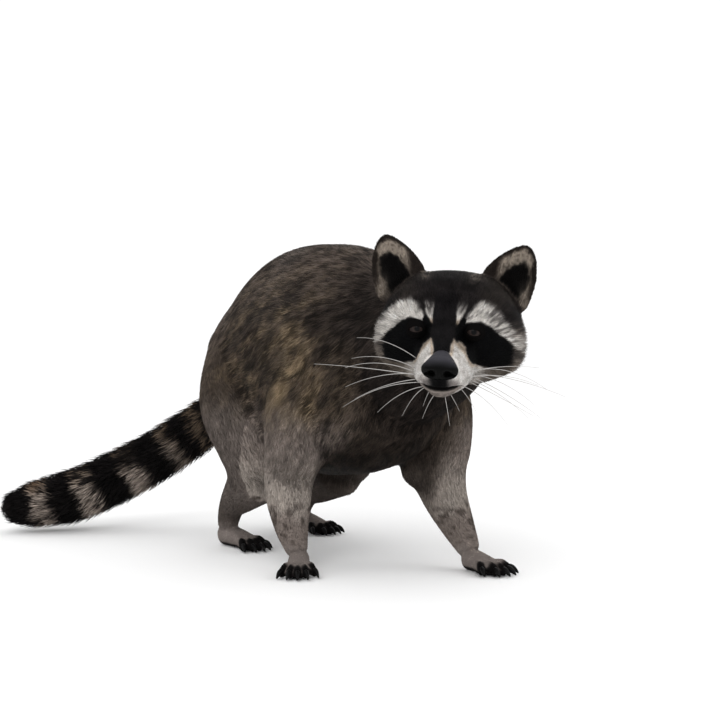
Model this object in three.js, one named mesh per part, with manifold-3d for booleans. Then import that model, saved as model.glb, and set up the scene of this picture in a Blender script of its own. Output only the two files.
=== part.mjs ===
// A raccoon, full grown and life size, stepping forward with its head turned to its right.
// A still display figure: one animal in one fixed stance, divided into the parts a person would name.
// Millimetres, +Z up. The animal faces -Y, its left side is +X, and its soles lie on the floor at z = 0.
// Every size is the outline of the coat, out to the tips of the hair.

import * as THREE from 'three';
import { mergeVertices } from 'three/addons/utils/BufferGeometryUtils.js';
import Module from 'manifold-3d';

const wasm = await Module();
wasm.setup();

// ---------------------------------------------------------------- driving dimensions

const GAP = 0.35; // clear space between neighbouring nodes
const PLAN_OFFSET = new THREE.Vector3( 83.44, 5.54, 0 ); // puts the middle of the floor plan at the origin

const BACK_HEIGHT = 326; // top of the arched back
const BELLY_CLEARANCE = 82; // lowest point of the belly

const HEAD_AT = new THREE.Vector3( - 10, - 262, 231 ); // middle of the widest section, through the cheeks
const HEAD_TURN = THREE.MathUtils.degToRad( 35 ); // towards its right
const HEAD_NOD = THREE.MathUtils.degToRad( 10 ); // nose down
const HEAD_TILT = THREE.MathUtils.degToRad( 3.5 ); // left ear lower
const CHEEK_HALF_WIDTH = 64.5;
const CROWN_HEIGHT = 58; // above the middle of the head
const NOSE_REACH = 86; // nose tip ahead of the cheeks

const EYE_RADIUS = 7.6;
const EYE_SPACING = 47.5;
const EYE_AHEAD = 33;
const EYE_ABOVE = 12;

const MOUTH_LEVEL = - 31; // upper lip, below the middle of the head
const MOUTH_OPENING = 1.5;
const MOUTH_CORNER = 44; // ahead of the cheeks

const TAIL_LENGTHS = 4;
const TAIL_RADIUS = 31;

const LEG_AROUND = 11;
const TOE_RADIUS = 5.6;
const CLAW_LENGTH = 10;

const COLOURS = {
	coat: '#4a423b',
	grey: '#6e665f',
	mask: '#16130f',
	ear: '#5d554c',
	paw: '#59524b',
	nose: '#1b1a1e',
	eye: '#3d362f',
	claw: '#0e0d0c',
	band: '#8a8177',
};

// ---------------------------------------------------------------- solids

const vector = ( x, y, z ) => new THREE.Vector3( x, y, z );

// A closed mesh as a manifold solid, with only its shared positions kept.
function solidOf( geometry ) {

	const bare = new THREE.BufferGeometry().setAttribute( 'position', geometry.getAttribute( 'position' ) );
	bare.setIndex( geometry.index );
	const merged = mergeVertices( bare, 1e-4 );
	return new wasm.Manifold( new wasm.Mesh( {
		numProp: 3,
		vertProperties: new Float32Array( merged.attributes.position.array ),
		triVerts: new Uint32Array( merged.index.array ),
	} ) );

}

// The largest body of a solid: a cut can leave a sliver beside it.
function mainBody( solid ) {

	return solid.decompose().reduce( ( most, body ) => ( body.volume() > most.volume() ? body : most ) );

}

function geometryOf( solid ) {

	const mesh = solid.getMesh();
	const geometry = new THREE.BufferGeometry();
	geometry.setAttribute( 'position', new THREE.BufferAttribute( mesh.vertProperties, 3 ) );
	geometry.setIndex( new THREE.BufferAttribute( mesh.triVerts, 1 ) );
	geometry.computeVertexNormals();
	return geometry;

}

// The side of the plane through a point that its normal looks towards, moved half a gap off the plane.
function halfOf( solid, point, normal ) {

	const n = normal.clone().normalize();
	return solid.trimByPlane( n.toArray(), n.dot( point ) + GAP / 2 );

}

function splitAt( solid, point, normal ) {

	return [ halfOf( solid, point, normal ), halfOf( solid, point, normal.clone().negate() ) ];

}

// A closed skin over a row of rings with the same number of points, shut by a point at each end.
function shellOver( rings, startPole, endPole ) {

	const around = rings[ 0 ].length;
	const points = [ ...rings.flat(), startPole, endPole ];
	const lastRow = ( rings.length - 1 ) * around;
	const faces = [];
	for ( let j = 0; j < around; j ++ ) {

		const next = ( j + 1 ) % around;
		for ( let row = 0; row < lastRow; row += around ) {

			const ahead = row + around;
			faces.push( row + j, row + next, ahead + next, row + j, ahead + next, ahead + j );

		}

		faces.push( next, j, points.length - 2, lastRow + j, lastRow + next, points.length - 1 );

	}

	const geometry = new THREE.BufferGeometry().setFromPoints( points );
	geometry.setIndex( faces );
	return geometry;

}

// A body of rounded sections carried along a smooth spine. Each station is
// { at, side, up, down }: the spine's point and the half sizes to the side, upwards and downwards.
// squareness is the exponent of the section's superellipse, 2 for an ellipse.
// domes gives the length of the rounded start and end; grow adds to every half size.
function loft( stations, options = {} ) {

	const {
		around = LEG_AROUND, along = 8, sideways = vector( 1, 0, 0 ), squareness = 2,
		domes = [ 0, 0 ], domeRings = 3, grow = 0, from = 0, to = 1,
	} = options;
	const spine = new THREE.CatmullRomCurve3( stations.map( ( s ) => s.at ) );
	const sizes = new THREE.CatmullRomCurve3( stations.map( ( s ) => vector( s.side, s.up, s.down ) ) );
	const rings = [];
	const ringAt = ( t, ahead, shrink ) => {

		const forward = spine.getTangent( t );
		const across = sideways.clone().addScaledVector( forward, - sideways.dot( forward ) ).normalize();
		const upward = new THREE.Vector3().crossVectors( forward, across );
		const centre = spine.getPoint( t ).addScaledVector( forward, ahead );
		const size = sizes.getPoint( t ).addScalar( grow );
		const ring = [];
		for ( let j = 0; j < around; j ++ ) {

			const angle = ( j / around ) * 2 * Math.PI;
			const bend = ( value ) => Math.sign( value ) * Math.abs( value ) ** ( 2 / squareness );
			const rise = Math.sin( angle ) > 0 ? size.y : size.z;
			ring.push( centre.clone()
				.addScaledVector( across, size.x * bend( Math.cos( angle ) ) * shrink )
				.addScaledVector( upward, rise * bend( Math.sin( angle ) ) * shrink ) );

		}

		rings.push( ring );

	};

	const quarter = Math.PI / 2;
	const startDome = domes[ 0 ] > 0 ? domes[ 0 ] + grow : 0;
	const endDome = domes[ 1 ] > 0 ? domes[ 1 ] + grow : 0;
	for ( let k = 1; k < domeRings && startDome > 0; k ++ ) {

		const angle = ( k / domeRings ) * quarter;
		ringAt( from, - startDome * Math.cos( angle ), Math.sin( angle ) );

	}

	for ( let i = 0; i <= along; i ++ ) ringAt( from + ( to - from ) * ( i / along ), 0, 1 );
	for ( let k = domeRings - 1; k > 0 && endDome > 0; k -- ) {

		const angle = ( k / domeRings ) * quarter;
		ringAt( to, endDome * Math.cos( angle ), Math.sin( angle ) );

	}

	const startPole = spine.getPoint( from ).addScaledVector( spine.getTangent( from ), - startDome );
	const endPole = spine.getPoint( to ).addScaledVector( spine.getTangent( to ), endDome );
	return shellOver( rings, startPole, endPole );

}

const loftSolid = ( stations, options ) => solidOf( loft( stations, options ) );

const station = ( at, side, up, down = up ) => ( { at, side, up, down } );

const union = ( solids ) => solids.reduce( ( whole, solid ) => whole.add( solid ) );

// ---------------------------------------------------------------- trunk, neck and head as one body

const BARREL_MIDDLE = 211;

// From the rump forward: place along the body, height of the widest point, half width, back and belly.
const trunkStation = ( y, z, side, up, down ) => station( vector( 0, y, z ), side, up, down );

const trunkStations = [
	trunkStation( 206, 198, 54, 48, 54 ),
	trunkStation( 166, 200, 82, 76, 84 ),
	trunkStation( 112, 203, 91, 98, 108 ),
	trunkStation( 46, BARREL_MIDDLE, 98, BACK_HEIGHT - BARREL_MIDDLE, BARREL_MIDDLE - BELLY_CLEARANCE ),
	trunkStation( - 14, 207, 99, 118, 125 ),
	trunkStation( - 70, 204, 93, 113, 114 ),
	trunkStation( - 116, 206, 82, 101, 101 ),
	trunkStation( - 150, 210, 66, 84, 84 ),
];

const trunkLoft = ( grow ) => loftSolid( trunkStations, {
	around: 20, along: 14, squareness: 2.02, domes: [ 26, 20 ], grow,
} );

const neckStations = [
	station( vector( 0, - 118, 214 ), 66, 76, 80 ),
	station( vector( 4, - 160, 220 ), 62, 70, 76 ),
	station( vector( 10, - 200, 227 ), 56, 62, 66 ),
	station( vector( 8, - 232, 231 ), 48, 50, 52 ),
];

const neckLoft = ( grow ) => loftSolid( neckStations, { around: 16, along: 4, grow } );

// The head's own frame: x to its left, y backwards, z to its crown, from the middle of the cheeks.
const headFrame = new THREE.Matrix4().compose(
	HEAD_AT,
	new THREE.Quaternion().setFromEuler( new THREE.Euler( HEAD_NOD, HEAD_TILT, - HEAD_TURN, 'ZXY' ) ),
	vector( 1, 1, 1 ),
);
const headPoint = ( left, ahead, above ) => vector( left, - ahead, above ).applyMatrix4( headFrame );
const headDirection = ( left, ahead, above ) => vector( left, - ahead, above ).transformDirection( headFrame );

// A section of the head: how far ahead, the level of its widest point, half width, top and bottom levels.
const headStation = ( ahead, widest, side, top, bottom ) =>
	station( headPoint( 0, ahead, widest ), side, top - widest, widest - bottom );

const headSideways = headDirection( 1, 0, 0 );

const skullStations = [
	headStation( - 54, 0, 46, 46, - 46 ),
	headStation( - 34, - 2, 60, CROWN_HEIGHT - 2, - 44 ),
	headStation( - 12, - 5, CHEEK_HALF_WIDTH, CROWN_HEIGHT, - 42 ),
	headStation( 6, - 7, CHEEK_HALF_WIDTH, CROWN_HEIGHT - 4, - 40 ),
	headStation( 18, - 8, 59, 45, - 39 ),
	headStation( 28, - 8, 45, 33, - 37 ),
	headStation( 35, - 9, 27, 19, - 32 ),
];

const skullLoft = ( grow ) => loftSolid( skullStations, {
	around: 20, along: 9, squareness: 2.25, sideways: headSideways, domes: [ 12, 4 ], domeRings: 2, grow,
} );

const muzzleStations = [
	headStation( 14, - 10, 34, 30, - 36 ),
	headStation( 34, - 14, 27, 21, - 40 ),
	headStation( 48, - 18, 25, 12, - 42 ),
	headStation( 60, - 20, 23, 5, - 42 ),
	headStation( 71, - 19, 19, 1, - 39 ),
	headStation( 78, - 18, 14, - 3, - 33 ),
];

const muzzleLoft = ( grow ) => loftSolid( muzzleStations, {
	around: 14, along: 6, squareness: 2.2, sideways: headSideways, domes: [ 0, 3 ], domeRings: 2, grow,
} );

const bodyParts = [ trunkLoft, neckLoft, skullLoft, muzzleLoft ];
const bodyOf = ( grow ) => union( bodyParts.map( ( part ) => part( grow ) ) );

const body = bodyOf( 0 );
const bodyWithGap = bodyOf( GAP );

// The neck lies between two cuts: one across the breast, the other behind the ears.
const neckBase = vector( 0, - 148, 212 );
const neckBaseNormal = vector( 0, 1, - 0.12 ); // towards the rump
const skullBase = headPoint( 0, - 36, 0 );
const skullBaseNormal = headDirection( 0, 1, - 0.1 ); // towards the nose

const [ trunk, foreBody ] = splitAt( body, neckBase, neckBaseNormal );
const [ wholeHead, neck ] = splitAt( foreBody, skullBase, skullBaseNormal );

// ---------------------------------------------------------------- eyes, nose, mouth and ears

const sides = [ { tag: 'l', left: 1 }, { tag: 'r', left: - 1 } ];

function ball( centre, radius ) {

	const [ around, upDown ] = [ 12, 8 ];
	const sphere = new THREE.SphereGeometry( radius, around, upDown );
	sphere.deleteAttribute( 'uv' );
	sphere.deleteAttribute( 'normal' );
	return solidOf( sphere.translate( ...centre.toArray() ) );

}

const eyeCentre = ( left ) => headPoint( ( left * EYE_SPACING ) / 2, EYE_AHEAD, EYE_ABOVE );

// The nose leather: a rounded pad on the front of the muzzle.
const NOSE_HALF_WIDTH = 13.5;
const NOSE_DOME = 5; // roundness of its front

const nosePad = ( grow ) => loftSolid( [
	headStation( 60, - 5, NOSE_HALF_WIDTH - 6, 6, - 12 ),
	headStation( 70, - 9, NOSE_HALF_WIDTH - 1, 3, - 18 ),
	headStation( NOSE_REACH - NOSE_DOME, - 11, NOSE_HALF_WIDTH, 0, - 20 ),
], {
	around: 12, along: 4, squareness: 2.3, sideways: headSideways, domes: [ 0, NOSE_DOME ], domeRings: 2, grow,
} );

// A block in the head's frame, for the cut that parts the lower jaw.
function headBlock( width, ahead, above ) {

	const box = new THREE.BoxGeometry( width, ahead[ 1 ] - ahead[ 0 ], above[ 1 ] - above[ 0 ] );
	box.translate( 0, - ( ahead[ 0 ] + ahead[ 1 ] ) / 2, ( above[ 0 ] + above[ 1 ] ) / 2 );
	box.applyMatrix4( headFrame );
	return solidOf( box );

}

const JAW_REGION = { width: 90, front: NOSE_REACH + 10, below: - 70 }; // wide enough to hold the whole jaw
const jawBlock = ( back, top ) =>
	headBlock( JAW_REGION.width, [ back, JAW_REGION.front ], [ JAW_REGION.below, top ] );
const jawRegion = jawBlock( MOUTH_CORNER, MOUTH_LEVEL - MOUTH_OPENING );
const jawClearance = jawBlock( MOUTH_CORNER - GAP, MOUTH_LEVEL );

const noseClearance = nosePad( GAP );
const lowerJaw = wholeHead.intersect( jawRegion ).subtract( noseClearance );

const sockets = sides.map( ( side ) => ball( eyeCentre( side.left ), EYE_RADIUS + GAP ) );
const head = wholeHead.subtract( union( [ jawClearance, noseClearance, ...sockets ] ) );

// The ear's outline from the front, in millimetres to the side and above the middle of the head.
const EAR_AHEAD = - 14;
const EAR_CUP = 13; // depth of the hollow
const EAR_BACK = 15; // bulge of the ear's back
const EAR_RIM = 2.4; // thickness at the edge
const EAR_LEAN = 0.18; // the tip leans back, as a slope
const EAR_TURN = 0.22; // the outer edge lies further back, as a slope
const EAR_MIDDLE = [ 52, 48 ];
const EAR_SHIFT = { l: [ - 1, - 3 ], r: [ 2.5, 0 ] }; // the left ear is held a little lower and closer
const earOutline = [ [ 22, 48 ], [ 29, 63 ], [ 44, 77 ], [ 60, 83 ], [ 67, 78 ], [ 71, 64 ], [ 70, 46 ],
	[ 62, 26 ], [ 48, 22 ], [ 33, 32 ] ];

// A cupped leaf: straight rays from the middle to the outline, hollow in front and bulging behind.
function earSolid( side ) {

	const around = 18;
	const steps = 3;
	const rim = new THREE.CatmullRomCurve3( earOutline.map( ( [ x, z ] ) => vector( x, 0, z ) ), true );
	const edge = rim.getSpacedPoints( around ).slice( 0, around );
	const left = side.left;
	const [ aside, raise ] = EAR_SHIFT[ side.tag ];
	const lean = ( z ) => - EAR_LEAN * ( z - EAR_MIDDLE[ 1 ] );
	const place = ( point, share, depth ) => {

		const x = EAR_MIDDLE[ 0 ] + ( point.x - EAR_MIDDLE[ 0 ] ) * share;
		const z = EAR_MIDDLE[ 1 ] + ( point.z - EAR_MIDDLE[ 1 ] ) * share;
		const turn = - EAR_TURN * ( x - EAR_MIDDLE[ 0 ] );
		return headPoint( left * ( x + aside ), EAR_AHEAD + lean( z ) + turn + depth, z + raise );

	};

	const hollow = ( share ) => - EAR_CUP * ( 1 - share ** 2 );
	const bulge = ( share ) => - EAR_RIM - EAR_BACK * ( 1 - share ** 2 );
	const shares = Array.from( { length: steps }, ( unused, i ) => ( i + 1 ) / steps );
	const front = shares.map( ( share ) => edge.map( ( point ) => place( point, share, hollow( share ) ) ) );
	const back = shares.map( ( share ) => edge.map( ( point ) => place( point, share, bulge( share ) ) ) );
	const rings = [ ...front, ...back.reverse() ];
	const shell = shellOver( rings, place( edge[ 0 ], 0, hollow( 0 ) ), place( edge[ 0 ], 0, bulge( 0 ) ) );
	if ( left < 0 ) shell.index.array.reverse(); // a mirrored shape has its faces turned round
	return mainBody( solidOf( shell ).subtract( bodyWithGap ) );

}

// ---------------------------------------------------------------- legs

// Each leg: its stations from the top down, with half sizes across, to the front and to the back, the place
// of its wrist or ankle over the floor, and how many degrees its toes point outwards.
const legs = [
	{
		tag: 'fore_l', left: 1, toesOut: 12.5,
		upper: [
			station( vector( 44, - 84, 214 ), 30, 38, 42 ),
			station( vector( 62, - 92, 165 ), 41, 46, 46 ),
			station( vector( 66, - 96, 120 ), 38, 39, 38 ),
			station( vector( 61, - 97, 93 ), 34, 34, 34 ),
		],
		lower: [
			station( vector( 66, - 98, 100 ), 31, 32, 32 ),
			station( vector( 72, - 105, 70 ), 23.5, 25, 25 ),
			station( vector( 79, - 118, 43 ), 18, 18, 19 ),
			station( vector( 85, - 129, 22 ), 13, 13, 14 ),
		],
		wrist: vector( 86, - 132, 20 ),
	},
	{
		tag: 'fore_r', left: - 1, toesOut: 25,
		upper: [
			station( vector( - 42, - 80, 214 ), 30, 38, 42 ),
			station( vector( - 61, - 64, 165 ), 39, 46, 44 ),
			station( vector( - 65, - 50, 122 ), 34, 40, 38 ),
			station( vector( - 66, - 40, 98 ), 28, 31, 31 ),
		],
		lower: [
			station( vector( - 67, - 38, 106 ), 27, 30, 30 ),
			station( vector( - 69, - 40, 74 ), 24.5, 26, 25 ),
			station( vector( - 71, - 53, 42 ), 18, 19, 19 ),
			station( vector( - 70, - 63, 22 ), 12.5, 13, 14 ),
		],
		wrist: vector( - 69, - 67, 20 ),
	},
	{
		tag: 'hind_l', left: 1, toesOut: 13,
		upper: [
			station( vector( 40, 146, 210 ), 42, 48, 40 ),
			station( vector( 60, 124, 160 ), 44, 62, 54 ),
			station( vector( 58, 104, 118 ), 41, 56, 50 ),
			station( vector( 51, 97, 81 ), 36, 42, 42 ),
		],
		lower: [
			station( vector( 48, 98, 80 ), 32, 35, 38 ),
			station( vector( 43, 134, 60 ), 24, 25, 25 ),
			station( vector( 39, 164, 43 ), 15, 16, 17 ),
			station( vector( 38, 180, 24 ), 12.5, 13, 13 ),
		],
		wrist: vector( 38, 180, 18 ),
	},
	{
		tag: 'hind_r', left: - 1, toesOut: - 15,
		upper: [
			station( vector( - 48, 124, 214 ), 46, 56, 50 ),
			station( vector( - 72, 88, 165 ), 44, 66, 60 ),
			station( vector( - 73, 54, 120 ), 38, 50, 48 ),
			station( vector( - 71, 32, 86 ), 32, 38, 38 ),
		],
		lower: [
			station( vector( - 71, 34, 84 ), 30, 32, 36 ),
			station( vector( - 75, 70, 62 ), 22, 23, 25 ),
			station( vector( - 78, 97, 43 ), 15, 15, 17 ),
			station( vector( - 78, 110, 24 ), 12.5, 13, 13 ),
		],
		wrist: vector( - 77, 110, 18 ),
	},
];

// Paw proportions: palm is the length from wrist or ankle to the roots of the toes, side its half width,
// thick the height of its middle at the heel, toe a toe's length, and fan the degrees from toe to toe.
const FORE_PAW = { palm: 36, heel: 2, side: 12.5, thick: 13, toe: 19, fan: 10 };
const HIND_PAW = { palm: 48, heel: 5, side: 13.5, thick: 14, toe: 18, fan: 9 };
const TOES = [ - 2, - 1, 0, 1, 2 ]; // from the animal's right to its left
const TOE_SETBACK = [ 12, 3, 0, 2, 7 ]; // roots of the toes behind the middle one, inner toe first
const TOE_ROOT_INSIDE = 4; // how far a toe's root lies inside the palm
const CLAW_ROOT_INSIDE = 2.5; // and a claw's root inside its toe
const CLAW_TIP_HEIGHT = 2.2;

const turned = ( angle ) => vector( Math.sin( angle ), - Math.cos( angle ), 0 );
const acrossOf = ( angle ) => vector( Math.cos( angle ), Math.sin( angle ), 0 );

// The palm or sole of a foot, its five toes joined to it, and its five separate claws.
function pawOf( leg, grow = 0 ) {

	const size = leg.tag.startsWith( 'fore' ) ? FORE_PAW : HIND_PAW;
	const turn = THREE.MathUtils.degToRad( leg.toesOut ) * leg.left;
	const forward = turned( turn );
	const across = acrossOf( turn );
	const at = ( ahead, aside, height ) => leg.wrist.clone()
		.addScaledVector( forward, ahead ).addScaledVector( across, aside ).setZ( height );
	const palm = loftSolid( [
		station( at( - size.heel, 0, size.thick ), size.side - 2, 10, size.thick + 1 ),
		station( at( size.palm * 0.4, 0, size.thick - 1.5 ), size.side - 1, 8, 13 ),
		station( at( size.palm, 0, 7 ), size.side + 1, 5, 8 ),
	], { around: 10, along: 3, sideways: across, domes: [ 6, 5 ], domeRings: 2, grow } );
	const toes = [];
	const claws = [];
	TOES.forEach( ( place, i ) => {

		const setback = TOE_SETBACK[ leg.left > 0 ? i : TOES.length - 1 - i ];
		const spread = turn + THREE.MathUtils.degToRad( place * size.fan );
		const direction = turned( spread );
		const toeSide = acrossOf( spread );
		const root = at( size.palm - TOE_ROOT_INSIDE - setback, place * ( size.side - 3 ) / 2, 0 );
		const along = ( reach, height ) => root.clone().addScaledVector( direction, reach ).setZ( height );
		toes.push( loftSolid( [
			station( along( - 6, 7 ), TOE_RADIUS - 1, 5, 7.5 ),
			station( along( size.toe / 2, 8 ), TOE_RADIUS - 0.4, 5, 8 ),
			station( along( size.toe - 4, 5.5 ), TOE_RADIUS, 5, 6 ),
		], { around: 6, along: 2, sideways: toeSide, domes: [ 0, 4 ], domeRings: 1, grow } ) );
		claws.push( loftSolid( [
			station( along( size.toe - CLAW_ROOT_INSIDE, 6.4 ), 2, 2.4 ),
			station( along( size.toe + 3, 6 ), 1.7, 2 ),
			station( along( size.toe - CLAW_ROOT_INSIDE + CLAW_LENGTH, CLAW_TIP_HEIGHT ), 0.6, 0.7 ),
		], { around: 4, along: 2, sideways: toeSide, domes: [ 0, 0.8 ], domeRings: 1 } ) );

	} );
	return { paw: union( [ palm, ...toes ] ), claws };

}

const FLOOR_UP = vector( 0, 0, 1 );
const onFloor = ( solid ) => solid.trimByPlane( FLOOR_UP.toArray(), 0 );

const meshes = [];

function addMesh( name, geometry, colour, roughness = 0.85 ) {

	const material = new THREE.MeshStandardMaterial( { color: colour, roughness, metalness: 0 } );
	const mesh = new THREE.Mesh( geometry, material );
	mesh.name = name;
	meshes.push( mesh );

}

const partNames = {
	fore: [ 'upper_arm', 'forearm', 'forepaw' ],
	hind: [ 'thigh', 'shank', 'hindpaw' ],
};
const CUFF_HEIGHT = 27; // where the foot begins
const UPPER_DOMES = [ 20, 22 ]; // roundness at the shoulder or hip, and at the elbow or knee
const LOWER_DOMES = [ 14, 8 ]; // and of the lower leg, at its top and at the wrist or ankle

for ( const leg of legs ) {

	const [ kind, tag ] = leg.tag.split( '_' );
	const { paw, claws } = pawOf( leg );
	const limb = { around: LEG_AROUND, along: 6, domeRings: 2 };
	const upper = loftSolid( leg.upper, { ...limb, domes: UPPER_DOMES } );
	const lower = loftSolid( leg.lower, { ...limb, domes: LOWER_DOMES } );
	const whole = onFloor( union( [ upper, lower, paw ] ) ).subtract( bodyWithGap );
	const [ upperPart, rest ] = splitAt( whole, leg.lower[ 0 ].at, FLOOR_UP );
	const [ lowerPart, foot ] = splitAt( rest, vector( 0, 0, CUFF_HEIGHT ), FLOOR_UP );
	const pawWithGap = pawOf( leg, GAP ).paw;
	const names = partNames[ kind ];
	addMesh( `${ names[ 0 ] }_${ tag }`, geometryOf( mainBody( upperPart ) ), COLOURS.grey );
	addMesh( `${ names[ 1 ] }_${ tag }`, geometryOf( mainBody( lowerPart ) ), COLOURS.grey );
	addMesh( `${ names[ 2 ] }_${ tag }`, geometryOf( mainBody( foot ) ), COLOURS.paw );
	claws.forEach( ( claw, i ) => {

		const freed = mainBody( claw.subtract( pawWithGap ) );
		addMesh( `claw_${ leg.tag }_${ i + 1 }`, geometryOf( freed ), COLOURS.claw, 0.35 );

	} );

}

// ---------------------------------------------------------------- tail

// The tail leaves the rump low, sweeps to the right and hangs to just above the floor.
const tailStations = [
	station( vector( - 6, 194, 172 ), 22, 24 ),
	station( vector( - 56, 231, 127 ), TAIL_RADIUS - 3, TAIL_RADIUS - 3 ),
	station( vector( - 120, 259, 81 ), TAIL_RADIUS - 1, TAIL_RADIUS - 1 ),
	station( vector( - 198, 283, 43 ), TAIL_RADIUS, TAIL_RADIUS ),
	station( vector( - 244, 296, 32 ), TAIL_RADIUS - 3, TAIL_RADIUS - 3 ),
	station( vector( - 266, 302, 29 ), TAIL_RADIUS - 10, TAIL_RADIUS - 10 ),
];

const tailSideways = vector( 0.2, 0.98, 0 );
const TAIL_TIP = 16; // length of the rounded end
const tailEdge = GAP / 1000; // half a gap as a share of the tail's course

for ( let i = 0; i < TAIL_LENGTHS; i ++ ) {

	const isTip = i === TAIL_LENGTHS - 1;
	const length = loftSolid( tailStations, {
		around: 14, along: 4, sideways: tailSideways, domes: [ 0, isTip ? TAIL_TIP : 0 ],
		from: i / TAIL_LENGTHS + tailEdge, to: ( i + 1 ) / TAIL_LENGTHS - ( isTip ? 0 : tailEdge ),
	} );
	const freed = i === 0 ? mainBody( length.subtract( bodyWithGap ) ) : length;
	addMesh( `tail_${ i + 1 }`, geometryOf( freed ), i % 2 ? COLOURS.band : COLOURS.mask );

}

// ---------------------------------------------------------------- the figure

addMesh( 'trunk', geometryOf( mainBody( trunk ) ), COLOURS.coat );
addMesh( 'neck', geometryOf( mainBody( neck ) ), COLOURS.coat );
addMesh( 'head', geometryOf( mainBody( head ) ), COLOURS.coat );
addMesh( 'lower_jaw', geometryOf( mainBody( lowerJaw ) ), COLOURS.band );
addMesh( 'nose', geometryOf( nosePad( 0 ) ), COLOURS.nose, 0.4 );

for ( const side of sides ) {

	addMesh( `ear_${ side.tag }`, geometryOf( earSolid( side ) ), COLOURS.ear );
	addMesh( `eye_${ side.tag }`, geometryOf( ball( eyeCentre( side.left ), EYE_RADIUS ) ), COLOURS.eye, 0.15 );

}

const raccoon = new THREE.Group();
raccoon.add( ...meshes );
raccoon.position.copy( PLAN_OFFSET );

export default raccoon;
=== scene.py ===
import math

import bpy
import numpy as np
from mathutils.kdtree import KDTree
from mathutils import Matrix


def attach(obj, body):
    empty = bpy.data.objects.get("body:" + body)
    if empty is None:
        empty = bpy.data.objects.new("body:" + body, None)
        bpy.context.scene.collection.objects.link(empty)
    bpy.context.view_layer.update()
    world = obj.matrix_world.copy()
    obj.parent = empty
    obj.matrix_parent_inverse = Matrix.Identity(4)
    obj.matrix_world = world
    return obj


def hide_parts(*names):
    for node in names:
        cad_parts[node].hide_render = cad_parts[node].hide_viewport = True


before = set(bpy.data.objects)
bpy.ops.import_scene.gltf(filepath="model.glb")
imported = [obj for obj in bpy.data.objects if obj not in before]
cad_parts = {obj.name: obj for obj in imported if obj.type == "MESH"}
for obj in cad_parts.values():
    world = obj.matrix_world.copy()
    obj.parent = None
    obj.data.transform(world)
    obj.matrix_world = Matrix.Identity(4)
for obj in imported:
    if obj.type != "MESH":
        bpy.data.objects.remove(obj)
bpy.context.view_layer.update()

# ---------------------------------------------------------------- floor, light and camera
# A plain pale studio: a matt floor that runs out of sight, an even white surround, one broad lamp over the
# animal's right shoulder and a weaker one from the other side. The lens stands at the animal's own height.

FLOOR_HALF = 9.0
SURROUND_STRENGTH = 1.08
LAMP_AIM = (0, 0, 0.15)
CAMERA_AT = (-0.51656, -1.31246, 0.250)
CAMERA_PITCH = math.radians(88.16)
CAMERA_HEADING = math.radians(-25.5)
LENS, FILM = 70, 36  # millimetres
NEAREST, FARTHEST = 0.05, 40


def linear(colour):
    """Display values from 0 to 255 turned to linear light: ((c + 0.055) / 1.055) ** 2.4 for each share c."""
    share = np.asarray(colour, float) / 255
    return np.where(share > 0.04045, ((share + 0.055) / 1.055) ** 2.4, share / 12.92)


def plain_material(name, colour, roughness, specular=0.5):
    """A material with one linear colour, one roughness and one strength of shine."""
    material = bpy.data.materials.new(name)
    material.use_nodes = True
    shader = material.node_tree.nodes["Principled BSDF"].inputs
    shader["Base Color"].default_value = (*colour, 1)
    shader["Roughness"].default_value = roughness
    shader["Specular IOR Level"].default_value = specular
    return material


def area_lamp(name, place, size, power):
    """A square lamp of a given side and power at a place, turned towards the animal's middle."""
    lamp = bpy.data.lights.new(name, "AREA")
    lamp.size, lamp.energy = size, power
    holder = bpy.data.objects.new(name, lamp)
    bpy.context.collection.objects.link(holder)
    holder.location = place
    away = np.subtract(place, LAMP_AIM)
    holder.rotation_euler = (math.atan2(math.hypot(away[0], away[1]), away[2]), 0,
                             math.atan2(away[0], -away[1]))


floor_mesh = bpy.data.meshes.new("floor")
floor_corners = [(x * FLOOR_HALF, y * FLOOR_HALF, 0) for x, y in ((-1, -1), (1, -1), (1, 1), (-1, 1))]
floor_mesh.from_pydata(floor_corners, [], [(0, 1, 2, 3)])
floor = bpy.data.objects.new("floor", floor_mesh)
bpy.context.collection.objects.link(floor)
floor_mesh.materials.append(plain_material("pale_floor", linear((250, 250, 250)), 0.9))

surround = bpy.data.worlds.new("surround")
surround.use_nodes = True
background = surround.node_tree.nodes["Background"].inputs
background["Color"].default_value = (1, 1, 1, 1)
background["Strength"].default_value = SURROUND_STRENGTH
bpy.context.scene.world = surround
bpy.context.scene.view_settings.view_transform = "Standard"

area_lamp("key", (-1.6, -1.9, 1.9), 1.4, 26)
area_lamp("fill", (1.9, -1.2, 1.2), 1.6, 8)

lens = bpy.data.cameras.new("camera")
lens.lens, lens.sensor_width = LENS, FILM
lens.clip_start, lens.clip_end = NEAREST, FARTHEST
camera = bpy.data.objects.new("camera", lens)
bpy.context.collection.objects.link(camera)
camera.location = CAMERA_AT
camera.rotation_euler = (CAMERA_PITCH, 0, CAMERA_HEADING)
bpy.context.scene.camera = camera

# ---------------------------------------------------------------- the body's form
# The animal under its coat: trunk, neck, skull, muzzle, legs, feet, ears and tail, each a rounded length
# along a spine. Their sections are those of the outer coat; the hide is made inside them by the depth of
# the hair.

MM = 0.001
PLAN_OFFSET = np.array([83.44, 5.54, 0.0]) * MM  # the animal's own middle line, in the frame

HEAD_AT = np.array([-10, -262, 231]) * MM
HEAD_TURN = math.radians(35)
HEAD_NOD = math.radians(10)
HEAD_TILT = math.radians(3.5)


def turn_about(axis, angle):
    """The rotation matrix about the x, y or z axis (0, 1 or 2)."""
    matrix = np.eye(3)
    i, j = [(1, 2), (2, 0), (0, 1)][axis]
    matrix[i, i] = matrix[j, j] = math.cos(angle)
    matrix[i, j], matrix[j, i] = -math.sin(angle), math.sin(angle)
    return matrix


HEAD_AXES = turn_about(2, -HEAD_TURN) @ turn_about(0, HEAD_NOD) @ turn_about(1, HEAD_TILT)


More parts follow.
